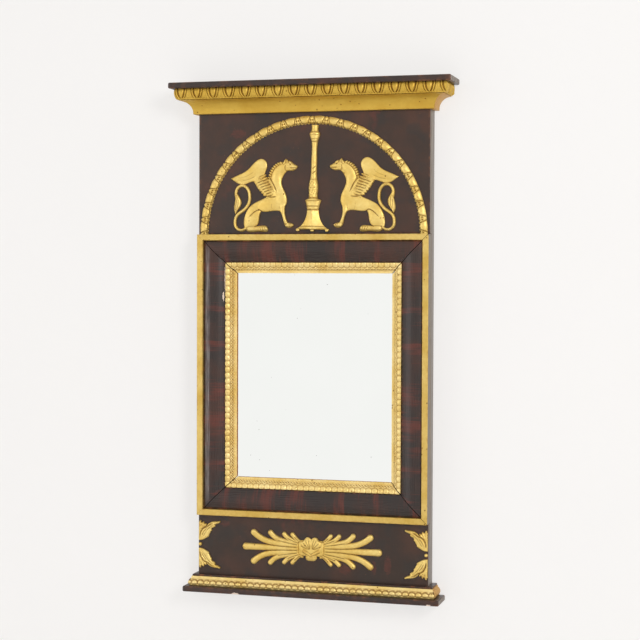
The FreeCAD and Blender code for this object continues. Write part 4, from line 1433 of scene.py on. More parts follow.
@dataclass
class FrameMouldings:
    """The four-sided frame round the glass: gilt fillet, dark cushion and carved gilt sight edge."""

    reach: Reach
    sections: Sections = field(default_factory=Sections)
    cushion_inset: float = 10 * MM
    sight_inset: float = 47 * MM
    tight_gap: float = 0.12 * MM
    open_gap: float = 0.5 * MM
    mitre_gap: float = 0.7 * MM
    sight_gap: float = 1.0 * MM
    lobe_pitch: float = 9.7 * MM
    sight_bed: float = 1.7 * MM
    fillet_rounding: float = 0.9
    cushion_rounding: float = 1.1

    def _sides(self, inset: float) -> dict[str, tuple[Matrix, float]]:
        """Where each side's length lies, and half of it at its outer edge."""
        reach = self.reach
        middle = (reach.frame_top + reach.frame_bottom) / 2
        half_high = (reach.frame_top - reach.frame_bottom) / 2 - inset
        half_wide = reach.half_body - inset
        front = reach.carcass_front
        return {
            "top": (lay((0, front, reach.frame_top - inset), (0, 0, -1), (1, 0, 0), (0, -1, 0)), half_wide),
            "bottom": (lay((0, front, reach.frame_bottom + inset), (0, 0, 1), (1, 0, 0), (0, -1, 0)),
                       half_wide),
            "left": (lay((-half_wide, front, middle), (1, 0, 0), (0, 0, 1), (0, -1, 0)), half_high),
            "right": (lay((half_wide, front, middle), (-1, 0, 0), (0, 0, 1), (0, -1, 0)), half_high),
        }

    def _lobes(self, across: Array, along: Array) -> Array:
        """One repeat of the sight edge: a round lobe with crescents inside it, then small points."""
        x, y = (along - 0.5) * self.lobe_pitch / MM, across * 17.3
        away = np.hypot(x, y - 3.4)
        lobe = 0.7 + 1.8 * dome(np.hypot(x / 4.9, (y - 3.4) / 5.4))
        crescents = (1.0 + 1.1 * np.cos((away - 7.6) * 2 * math.pi / 3.4)) * ramp(away, 5.4, 6.0)
        points = 1.0 + 1.4 * np.cos(along * 4 * math.pi) * np.cos((y - 13.2) * 2 * math.pi / 4.8)
        inner = ramp(y, 10.8, 11.4)
        height = np.maximum(lobe, crescents) * (1 - inner) + points * inner
        lip = ramp(y, 15.4, 15.8)
        return (height * (1 - lip) + 1.6 * lip) * MM

    def build(self, shop: Workshop) -> None:
        """Make the twelve lengths."""
        fillet, fillet_worn = soften(self.sections.fillet, self.fillet_rounding)
        cushion, cushion_worn = soften(self.sections.cushion, self.cushion_rounding)
        tight, loose = self.tight_gap, self.open_gap
        gaps = dict(top=(tight, loose), bottom=(tight, loose), left=(tight, tight), right=(loose, loose))
        for side, (place, half) in self._sides(0.0).items():
            name = f"gilt_fillet_{side}"
            strip = Strip(fillet * MM, fillet_worn, half, -1, gaps[side], painted_edge=True)
            shop.add(name, strip.mesh(name, place), shop.gilding, f"fillet_{side}")
        for side, (place, half) in self._sides(self.cushion_inset).items():
            name = f"painted_cushion_{side}"
            strip = Strip(cushion * MM, cushion_worn, half, -1, (self.mitre_gap, self.mitre_gap))
            shop.add(name, strip.mesh(name, place), shop.grained_paint, f"frame_{side}")
        face, back = np.array(self.sections.sight_face) * MM, np.array(self.sections.sight_back)[1:] * MM
        for side, (place, half) in self._sides(self.sight_inset).items():
            name = f"carved_sight_{side}"
            count = 2 * round(half / self.lobe_pitch - 0.5) + 1
            row = TileRow(face, back, 2 * half / count, self._lobes, self.sight_bed, 18)
            mesh = row.mesh(name, shop, place, half, -1, self.sight_gap, half)
            inward = place.to_3x3() @ Vector((1, 0, 0))
            mark_faces(mesh, "bare", lambda normal: normal.dot(inward) > 0.95)
            shop.add(name, mesh, shop.sight_gilding, f"sight_moulding_{side}")


@dataclass
class Courses:
    """Cornice and base: courses along the front, each with two returns to the wall."""

    reach: Reach
    sections: Sections = field(default_factory=Sections)
    egg_height: float = 18.2 * MM
    cavetto_height: float = 22.3 * MM
    base_height: float = 15.6 * MM
    egg_pitch: float = 28 * MM
    egg_shift: float = 5.6 * MM
    egg_bed: float = 2.2 * MM
    lobe_pitch: float = 11 * MM
    lobe_shift: float = -2.8 * MM
    lobe_bed: float = 1.7 * MM
    mitre_gap: float = 0.12 * MM
    rounding: float = 0.7
    return_spacing: float = 8 * MM
    egg_overhang: float = 36 * MM
    base_overhang: float = 16 * MM

    def _eggs(self, across: Array, along: Array) -> Array:
        """One repeat: an egg in its shell, and half a dart on each side."""
        half = self.egg_pitch / MM / 2
        x = np.abs(along - 0.5) * 2 * half
        egg_half = 5.4 * np.clip(1 - (across / 0.86) ** 2.2, 0.0004, 1) ** 0.7
        off = x - egg_half
        height = np.maximum(2.9 * dome(x / egg_half), 3.0 * dome((off - 3.0) / 1.6))
        dart = 2.1 + 0.2 * np.cos((half - x) * 2 * math.pi / 5)
        height = np.maximum(height, dart * ramp(off, 4.8, 5.6)) * (1 - ramp(across, 0.84, 0.88))
        curl = (2.2 + 0.3 * np.cos(along * 10 * math.pi)) * dome((across - 0.93) / 0.09)
        return np.maximum(height, curl) * MM

    def _lobes(self, across: Array, along: Array) -> Array:
        """One repeat of the base: a round lobe at the foot under an arched band, and a bead on top."""
        x, y = (along - 0.5) * self.lobe_pitch / MM, across * 17.0
        band = 1.7 - 1.0 * bell(y - 4.6, 0.7) + 0.3 * dome((y - 1.7) / 1.8)
        arched = ramp(np.hypot(x / 6.0, (y - 12.2) / 6.2), 1.06, 1.36) * (1 - ramp(y, 11.0, 12.4))
        lobe = 2.4 * dome(np.hypot(x / 5.2, (y - 12.2) / 5.0)) * (1 - 0.35 * ramp(y, 12.2, 17.0))
        floor = 0.2 + 1.4 * ramp(y, 13.6, 15.2)
        return np.maximum(floor + (band - floor) * arched, lobe) * MM

    def _place(self, level: float, side: Side | None) -> tuple[Matrix, float]:
        """Where a front length or a return lies, and how far it reaches from its start."""
        reach = self.reach
        if side is None:
            return lay((0, reach.frieze_face, level), (0, -1, 0), (1, 0, 0), (0, 0, 1)), reach.half_body
        corner = (reach.half_body * side.value, 0, level)
        return lay(corner, (side.value, 0, 0), (0, -1, 0), (0, 0, 1)), -reach.frieze_face

    def _strip(self, shop: Workshop, name: str, node: str, drawn: tuple, level: float, finish: Finish,
               side: Side | None = None) -> None:
        """Make one plain front or return."""
        section, worn = soften(drawn, self.rounding)
        place, half = self._place(level, side)
        gaps, spacing = (self.mitre_gap, self.mitre_gap), Strip.spacing
        if side:
            gaps, spacing = (0.0, self.mitre_gap), self.return_spacing
        strip = Strip(section * MM, worn, half, 1, gaps, side is not None, spacing=spacing)
        shop.add(name, strip.mesh(name, place), finish, node)

    def _row(self, shop: Workshop, name: str, node: str, row: TileRow, level: float, overhang: float,
             finish: Finish, side: Side | None = None) -> None:
        """Make one carved front or return."""
        place, half = self._place(level, side)
        mesh = row.mesh(name, shop, place, half, 1, self.mitre_gap, half + overhang, side is not None)
        shop.add(name, mesh, finish, node)

    def build(self, shop: Workshop) -> None:
        """Make the courses from the cornice down."""
        drawn = self.sections
        egg_level = self.reach.board_under - self.egg_height
        cornice_level = egg_level - self.cavetto_height
        base_level = self.reach.plinth_top
        lip_level = base_level + self.base_height
        self._strip(shop, "cavetto_front", "cornice_front", drawn.cavetto, cornice_level,
                    shop.cornice_gilding)
        self._strip(shop, "dark_lip_front", "base_lip_front", drawn.lip, lip_level, shop.paint)
        returns = (("cavetto", "cornice", drawn.cavetto, cornice_level, shop.bronzing),
                   ("base_return", "base_moulding", drawn.base, base_level, shop.bronzing),
                   ("dark_lip", "base_lip", drawn.lip, lip_level, shop.paint))
        for side in Side:
            for name, node, *course in returns:
                self._strip(shop, f"{name}_{side.label}", f"{node}_{side.label}", *course, side)
        eggs = TileRow(np.array(drawn.egg_face) * MM, np.array(drawn.egg_back)[1:-1] * MM, self.egg_pitch,
                       self._eggs, self.egg_bed, 48, self.egg_shift)
        egg_row = (eggs, egg_level, self.egg_overhang, shop.cornice_gilding)
        self._row(shop, "egg_and_dart_front", "egg_strip_front", *egg_row)
        for side in Side:
            self._row(shop, f"egg_return_{side.label}", f"egg_strip_{side.label}", *egg_row, side)
        lobes = TileRow(np.array(drawn.base_face) * MM, np.array(drawn.base_back)[1:] * MM, self.lobe_pitch,
                        self._lobes, self.lobe_bed, 16, self.lobe_shift)
        self._row(shop, "carved_base_front", "base_moulding_front", lobes, base_level, self.base_overhang,
                  shop.sight_gilding)


@dataclass
class Arch:
    """The arch of leaf moulding, in two quarters that meet at the crown."""

    reach: Reach
    radius: float = 193.7 * MM
    width: float = 13.5 * MM
    flank: float = 2.5 * MM
    crown_radius: float = 9 * MM
    repeats: int = 12
    bed: float = 2.0 * MM
    scallops: int = 4
    scallop: float = 0.1

    def _leaves(self, across: Array, along: Array) -> Array:
        """One repeat, from the middle of one pierced leaf to the next, with a smooth tongue between."""
        s = np.minimum(along, 1 - along)
        seam = 0.12 + 0.17 * across
        swell = dome(1 - np.clip((s - seam) / (0.5 - seam), 0, 1))
        tongue = 1.0 + 1.5 * swell * (1 - ramp(across, 0.8, 1.0))
        leaf = 1.7 + 0.8 * bell(s, 0.045) + 0.4 * ramp(s / seam, 0.6, 0.95)
        leaf -= 2.5 * bell(np.hypot((s - 0.08) / 0.036, (across - 0.5) / 0.12), 1.0)
        leaf -= 1.6 * ramp(across, 0.72, 0.84) * (0.5 + 0.5 * np.cos(s * 44))
        height = np.where(s > seam, tongue, leaf) - 1.7 * bell(s - seam, 0.03)
        return (height - 0.5 * ramp(across, 0.9, 1.0)) * MM

    def build(self, shop: Workshop) -> None:
        """Make both quarters."""
        left, right = (0.0, self.flank / MM), (self.width / MM, self.flank / MM)
        face = np.array(arc(left, right, self.crown_radius / MM, -1, 22)) * MM
        back = np.array([(self.width, 0.0), (0.0, 0.0)])
        turn = math.radians(90 / self.repeats)

        def bend(points: Array) -> Array:
            """Turn a straight repeat round the arch's centre."""
            cut = 0.5 - 0.5 * np.cos(2 * math.pi * self.scallops * points[:, 1])
            inner = ramp(points[:, 0] / self.width, 0.55, 1.0)
            out = self.radius - points[:, 0] * (1 - self.scallop * cut * inner)
            angle = points[:, 1] * turn
            return np.column_stack([out * np.sin(angle), -points[:, 2], out * np.cos(angle)])

        unit = TileRow(face, back, 1.0, self._leaves, self.bed, 30).unit("arch_leaf", bend)
        centre = Matrix.Translation((0, self.reach.frieze_face, self.reach.frame_top))
        finish = shop.casting_gilding
        for side, first in ((Side.LEFT, -math.pi / 2), (Side.RIGHT, 0.0)):
            row = shop.repeater.run(unit, finish.material, self.repeats, first_turn=(0, first, 0),
                                    turn=(0, turn, 0))
            row.name = f"leaf_arch_{side.label}"
            cut_ends(row)
            row.transform(centre)
            mesh = close_mesh(carved(row), CARVED_SHARP)
            shop.add(f"leaf_arch_{side.label}", mesh, finish, f"arch_{side.label}")


@dataclass
class UpperOrnaments:
    """Candelabrum and two seated griffins under the arch."""

    reach: Reach
    lift: float = 4 * MM
    griffin_left: float = -141.4 * MM
    griffin_mirror: float = 2.5 * MM
    griffin_scale: float = 1.008
    candelabrum_shift: float = 0.5 * MM
    candelabrum_lean: float = math.radians(1.4)
    candelabrum_scale: float = 1.007
    candelabrum_relief: float = 6.5
    belts: tuple = (
        (4.0, 8.2, 0.8), (8.4, 9.6, -0.6), (34.6, 36.2, -0.9), (36.6, 40.6, 0.9), (41.0, 42.4, -1.0),
        (49.4, 50.6, -0.8), (51.0, 54.0, 1.0), (54.4, 55.6, -0.9), (71.4, 72.6, -0.6), (84.2, 86.0, -0.6),
        (145.6, 147.0, -0.9), (147.4, 150.4, 0.8), (150.8, 152.0, -0.9), (157.4, 161.4, 0.9),
        (162.4, 163.8, -0.9),
    )
    wing_feathers: int = 8

    def _wing_feathers(self, relief: Relief) -> None:
        """Lay two overlapping rows of short feathers on the lower wing, the outer row first."""
        for near, far, stagger in ((0.42, 1.0, 0.5), (0.0, 0.55, 0.0)):
            for step in range(self.wing_feathers):
                share = (step + stagger) / (self.wing_feathers - 0.5)
                root = np.array([61.0, 93.0]) + share * np.array([16.0, -32.0])
                tip = np.array([41.0, 84.0]) + share * np.array([22.0, -27.5])
                ends = [tuple(root + reach * (tip - root)) for reach in (near, (near + far) / 2, far)]
                relief.strand(ends, [1.4, 2.3, 1.9], 4.0, 0.2, True)
                if stagger and step:
                    relief.groove([tuple(spot + (2.0, 1.6)) for spot in np.array(ends)], 0.9, 1.0)

    def _griffin(self) -> Relief:
        """The left griffin: lion's body, feathered wing and a long-jawed head."""
        relief = Relief("griffin_left", (self.griffin_left, self.reach.frame_top + self.lift),
                        (self.griffin_scale, self.griffin_scale))
        relief.pillow(2.3, 3.2)
        relief.strand([(6, 87), (26, 92), (44, 101), (54, 108)], [4, 9, 13, 12], 3.5)
        relief.strand([(46, 86), (56, 74), (69, 62)], [8, 10, 9], 3.6, 1.2)
        relief.ellipse((71, 46), (25, 13.5), 16, 4.6, 1.6)
        relief.strand([(84, 60), (79, 80), (81, 96), (90, 106)], [13.5, 10.5, 9, 7.5], 4.7, 1.4)
        relief.ellipse((88, 56), (10.5, 17), 8, 5.0, 1.4)
        relief.ellipse((98.5, 107.6), (9, 7), -12, 4.9, 1.0)
        relief.strand([(102, 107.6), (108, 106.4), (113, 105.8)], [6.2, 4.8, 2.8], 4.5, 0.8)
        relief.strand([(97, 102.6), (104.5, 102.2), (110.6, 103.2)], [3.4, 2.8, 2.0], 4.4, 0.3)
        relief.ellipse((103.4, 112.8), (4.2, 2.7), -38, 5.4, 0.4)
        relief.strand([(91, 42), (90.5, 30), (95, 18), (99, 11.5)], [6.5, 5, 4, 3.7], 4.2)
        relief.strand([(97, 10.6), (106, 10.8)], [3.6, 3.3], 4.4, 0.6)
        relief.ellipse((38.5, 25.5), (15.5, 19.5), -14, 4.9, 0.5)
        relief.strand([(33, 5), (48, 5.4), (61, 5.2)], [5, 5, 4.2], 4.6, 0.5)
        relief.strand([(26, 6), (16, 3.3), (9, 9), (7.8, 16), (9.5, 24.5), (14, 30), (22, 35.5), (28.5, 42),
                       (32.5, 50), (33.2, 58), (32, 66), (28.5, 72.5), (22.5, 76.2), (16.5, 75.6),
                       (11.5, 71), (9.5, 64), (11, 56)], [2.7] * 17, 3.8, 0.4)
        relief.strand([(10.4, 63), (12.6, 52), (12, 41), (9, 30)], [2, 6, 5, 1.4], 4.4, 0.5)
        mane = smooth_run([(67.3, 89), (70.4, 99), (76.6, 107.6), (84.4, 112.2), (90, 113.6)])
        for u, v in mane[::5]:
            relief.strand([(u + 1, v - 0.6), (u - 0.4, v + 0.3)], [2.4, 1.9], 5.0, 0.3, True)
        relief.strand([(92.8, 112), (95.3, 118.6)], [2.8, 0.9], 5.3, 0.3)
        for u, v in smooth_run([(44.5, 80.5), (51, 70.5), (60, 60)])[::6]:
            relief.strand([(u + 1.5, v + 1.5), (u - 0.3, v - 0.3)], [2.9, 2.3], 4.0, 0.3, True)
        self._wing_feathers(relief)
        relief.groove([(60, 97), (65.5, 87), (73, 74), (78.5, 64)], 1.4, -1.5)
        relief.groove([(63.4, 97), (68.9, 87.5), (76.4, 75), (81, 65)], 1.0, 1.2)
        relief.groove([(63, 58), (70, 57), (80, 57.5)], 0.8, 1.0)
        relief.groove([(33, 24), (38, 29), (45, 34.5), (50, 36), (55, 33)], 0.9, 1.1)
        for feather in ([(14, 88), (28, 91.5), (42, 99)], [(20, 84.5), (32, 86.5), (44, 92)]):
            relief.groove(feather, 0.9, 0.25)
        relief.groove([(103, 104.8), (108, 104.1), (114.4, 104.8)], 0.5, 0.9)
        relief.groove([(102, 110), (104.6, 109.8)], 0.8, 1.2)
        relief.groove([(111.6, 107.2), (112.6, 107)], 0.5, 0.7)
        relief.groove([(96, 100), (94.6, 105), (96.6, 110)], 0.8, 0.5)
        relief.groove([(73, 36), (72, 42), (71.5, 47)], 0.7, 0.3)
        for toe in (51.5, 55.5, 59.5):
            relief.groove([(toe, 8.6), (toe + 1.4, 2.2)], 0.55, 0.9)
        for toe in (101.5, 104.4):
            relief.groove([(toe, 13.6), (toe + 1.2, 8.4)], 0.5, 0.8)
        for off in (-1.6, 1.4):
            hair = [(10.8 + off * 0.4, 60), (12.4 + off, 51), (11.6 + off, 42), (9.4, 34)]
            relief.groove(hair, 0.55, 0.6)
        return relief

    def _candelabrum(self) -> Relief:
        """The shaft: turned, in half relief, on a foot with three claws."""
        origin = (self.candelabrum_shift, self.reach.frame_top + self.lift)
        relief = Relief("candelabrum", origin, (1.0, self.candelabrum_scale), self.candelabrum_lean, 0.4)
        inside = relief.depth > 0
        radius = np.max(np.where(inside, np.abs(relief.u), 0.5), axis=1, keepdims=True)
        lift = np.minimum(self.candelabrum_relief, 1.2 + radius * 0.8)
        share = np.clip(np.abs(relief.u) / (radius + 0.2), 0, 1)
        facets = ramp(relief.v, 4.0, 6.0) * (1 - ramp(relief.v, 35.0, 38.0))
        relief.height = lift * (dome(share) * (1 - facets) + (1 - 0.8 * share) * facets)
        below = 1 - ramp(relief.v, 3.0, 4.2)
        claws = np.maximum(5.4 * dome(relief.u / 4.2), 4.2 * dome((np.abs(relief.u) - 25) / 4.0))
        relief.height = relief.height * (1 - below) + claws * below
        relief.scales([(-11, 55), (11, 55), (11, 87), (-11, 87)], 7.0, 100, 2.0)
        for low, high, rise in self.belts:
            relief.belt(low, high, rise)
        for level in (96.0, 104.0):
            relief.groove([(-2.0, level - 1.6), (1.0, level + 0.4), (4.0, level + 3.4)], 0.8, 0.7)
        return relief

    def build(self, shop: Workshop) -> None:
        """Make the castings."""
        griffin = self._griffin()
        for side, mirror_at in ((Side.LEFT, None), (Side.RIGHT, self.griffin_mirror)):
            name = f"gilt_griffin_{side.label}"
            mesh = griffin.mesh(name, mirror_at=mirror_at)
            shop.add(name, mesh, shop.casting_gilding, f"griffin_{side.label}")
        candelabrum = self._candelabrum().mesh("gilt_candelabrum", edge=0.8)
        shop.add("gilt_candelabrum", candelabrum, shop.casting_gilding, "candelabrum")


@dataclass
class LowerOrnaments:
    """Palmette, half leaves and beads on the lower panel."""

    reach: Reach
    shift: float = 0.8 * MM
    bead_radius: float = 2.8 * MM
    bead_height: float = 4.5 * MM
    leaf_inset: float = 0.6 * MM
    leaf_drawn: float = 33.0
    leaf_fold: tuple = ((2.4, 10), (3.2, 18), (6, 24), (10, 28), (15.5, 30), (20, 33.4), (26, 36))
    leaf_points: tuple = (
        ((8, 28), (13, 33.5), (3.0, 1.5)), ((5, 28), (8.5, 36.5), (3.2, 1.5)),
        ((2.6, 26), (3, 38.5), (2.6, 1.6)), ((13, 14), (15.6, 14.6), (3.6, 2.6)),
        ((18, 23), (20.8, 24), (3.4, 2.4)), ((25, 30.6), (27.4, 31.4), (2.8, 2.0)),
        ((32, 36.6), (36.6, 38.4), (2.2, 1.6)),
    )
    leaf_veins: tuple = (((8, 12), (13, 20), (18.5, 27), (27, 34)), ((6, 14), (9.5, 21), (14.5, 26.5)))
    feathers: tuple = (
        (((14, 0), (28, 0), (42, 0)), (15, 12.5, 8), 3.4),
        (((18, 0), (60, 0), (90, 0), (114, 0)), (4.6, 4.9, 5.4, 6.2), 4.6),
        (((20, 5), (55, 7), (84, 13.5), (100, 24)), (4.1, 5.1, 5.2, 5.7), 4.2),
        (((20, 6), (46, 11), (62, 17), (71, 25)), (4.1, 4.9, 4.6, 4.8), 4.1),
        (((18, 7), (34, 13.5), (42, 18.5), (47, 23.5)), (4.1, 4.1, 4.0, 4.1), 4.0),
        (((14, 7), (24, 14), (29, 19), (33, 23.5)), (3.2, 3.6, 3.6, 3.8), 4.0),
    )
    partings: tuple = (
        ((20, 2.5), (52, 3.2), (84, 6.0)),
        ((21, 6.5), (42, 9.6), (60, 13.0)),
        ((20, 9), (32, 13), (42, 17.6)),
        ((18, 11), (24, 15), (30, 20)),
    )

    @property
    def level(self) -> float:
        """The middle of the lower panel that shows."""
        return (self.reach.lip_top + self.reach.frame_bottom) / 2

    def _spray(self, side: Side) -> Relief:
        """One spray of round-tipped feathers."""
        relief = Relief(f"palmette_spray_{side.label}", (self.shift, self.level))
        relief.pillow(2.0, 1.2)
        for points, radii, top in self.feathers:
            for half in (1, -1) if points[0][1] else (1,):
                drawn = [(u * side.value, v * half) for u, v in points]
                relief.strand(drawn, radii, top, 0.25, power=2.5)
        for line in self.partings:
            for half in (1, -1):
                relief.groove([(u * side.value, v * half) for u, v in line], 0.8, 0.7)
        return relief

    def _knot(self) -> Relief:
        """The shell that ties the sprays: two fluted lobes over a fold and a ringed tail."""
        relief = Relief("palmette_knot", (self.shift, self.level), step=0.4)
        relief.pillow(4.2, 2.4)
        relief.ellipse((0, -13), (10, 7.5), 0, 5.4, 0.6)
        for side in (-1, 1):
            relief.ellipse((8.5 * side, 8), (11, 10.5), 30 * side, 6.8, 0.6)
            relief.ellipse((17.6 * side, 1), (5, 10), -24 * side, 5.2, 1.4)
            relief.strand([(13 * side, -3), (7 * side, -6), (0, -10)], [3.2, 3.0, 2.6], 6.4, 0.5)
            for u, v in ((4.5, 15.5), (10, 16.5), (15, 12.5), (18.5, 6)):
                relief.groove([(2 * side, 0), (u * side * 0.6, v * 0.5), (u * side, v)], 0.9, 0.5)
        for low in (-12.8, -16.2):
            relief.belt(low, low + 1.4, -0.5)
        return relief

    def _leaf(self, side: Side, upward: int) -> Relief:
        """A half leaf at the panel's end, with a curled tip and a short second lobe."""
        node = f"corner_leaf_{'upper' if upward > 0 else 'lower'}_{side.label}"
        low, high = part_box(node)
        scale = (high.z - low.z) / MM / self.leaf_drawn
        edge = (self.reach.half_body - self.leaf_inset) * side.value
        relief = Relief(node, (edge, self.level), (-scale * side.value, scale * upward))
        relief.pillow(3.0, 2.6)
        relief.strand([(5, 10), (11, 19), (19, 28), (29, 36), (37, 39)], [9, 11, 9, 5, 2.2], 4.0, 1.2)
        for root, tip, radii in self.leaf_points:
            relief.strand([root, tip], radii, 3.9, 0.3, True)
        relief.groove(self.leaf_fold, 1.2, 1.3)
        relief.groove([(u + 2.6, v - 1.0) for u, v in self.leaf_fold], 1.5, -1.0)
        for line in self.leaf_veins:
            relief.groove(line, 1.0, 0.35)
        return relief

    def _beads(self, shop: Workshop) -> Mesh:
        """One bead at each end of the panel."""
        shape = [(1.0, 0.0), (1.0, 0.3), (0.93, 0.58), (0.72, 0.84), (0.38, 0.97), (0.1, 1.0)]
        profile = [(wide * self.bead_radius, -rise * self.bead_height) for wide, rise in shape]
        # The rings at the panel darken: dirt and painted shade at the bead's foot.
        unit = turned_mesh("gilt_bead", profile, 20, 0.0, (1.0, 0.7, 0.1, 0.0, 0.0, 0.0))
        edge = self.reach.half_body - self.leaf_inset - self.bead_radius
        start = (-edge, self.reach.frieze_face, self.level)
        return shop.repeater.run(unit, shop.gilding.material, 2, start, (2 * edge, 0, 0))

    def build(self, shop: Workshop) -> None:
        """Make the castings."""
        gilt = shop.casting_gilding
        for side in Side:
            name = f"feather_spray_{side.label}"
            spray = self._spray(side).mesh(name, edge=1.0, rim_dirt=0.4)
            shop.add(name, spray, gilt, f"palmette_spray_{side.label}")
            for upward, word in ((1, "upper"), (-1, "lower")):
                name = f"curled_leaf_{word}_{side.label}"
                shop.add(name, self._leaf(side, upward).mesh(name), gilt, f"corner_leaf_{word}_{side.label}")
        knot = self._knot().mesh("shell_knot", wall=3.0, edge=2.2, rim_dirt=0.1)
        shop.add("shell_knot", knot, gilt, "palmette_knot")
        shop.add("gilt_beads", self._beads(shop), gilt, "edge_beads")


def turned_mesh(name: str, profile: Sequence[Point], turns: int, ragged: float = 0.0,
                hollow: Sequence[float] = ()) -> Mesh:
    """A round piece about the second axis.

    Args:
        name: The mesh's name.
        profile: Radius and place along the axis, from one end to the other.
        turns: How many sides it has.
        ragged: How uneven each radius is, as a share of it.
        hollow: How dark each ring of the profile is, with dirt and painted shade.

    Returns:
        The closed mesh.
    """
    points = []
    for radius, along in profile:
        for turn in range(turns):
            angle = 2 * math.pi * turn / turns
            across, up = math.cos(angle), math.sin(angle)
            size = radius * (1 + ragged * noise.noise(Vector((across, up, along / MM / 4))))
            points.append((size * across, along, size * up))
    marks = {"hollow": np.repeat(hollow, turns)} if hollow else None
    return close_mesh(make_mesh(name, np.array(points), tube_faces(len(profile), turns), marks))


def wire_mesh(name: str, path: Array, side: Vector, radius: float, closed: bool,
              turns: int = 14) -> Mesh:
    """Forged wire along a path in one plane.

    Args:
        name: The mesh's name.
        path: The path's points.
        side: The plane's normal.
        radius: The wire's radius, which wavers a little.
        closed: True where the path returns to its start.
        turns: How many sides the wire has.

    Returns:
        The closed mesh.
    """
    last = len(path) - 1
    points = []
    for i, spot in enumerate(path):
        before, after = path[i - 1 if closed else max(i - 1, 0)], path[min(i + 1, last)]
        if closed and i == last:
            after = path[0]
        out = Vector(after - before).normalized().cross(side)
        for turn in range(turns):
            angle = 2 * math.pi * turn / turns
            spoke = out * math.cos(angle) + side * math.sin(angle)
            size = radius * (0.97 + 0.05 * noise.noise((Vector(spot) + spoke * radius) / (3 * MM)))
            points.append(tuple(Vector(spot) + spoke * size))
    faces = tube_faces(len(path), turns, ends=not closed, loop=closed)
    return close_mesh(make_mesh(name, np.array(points), faces))


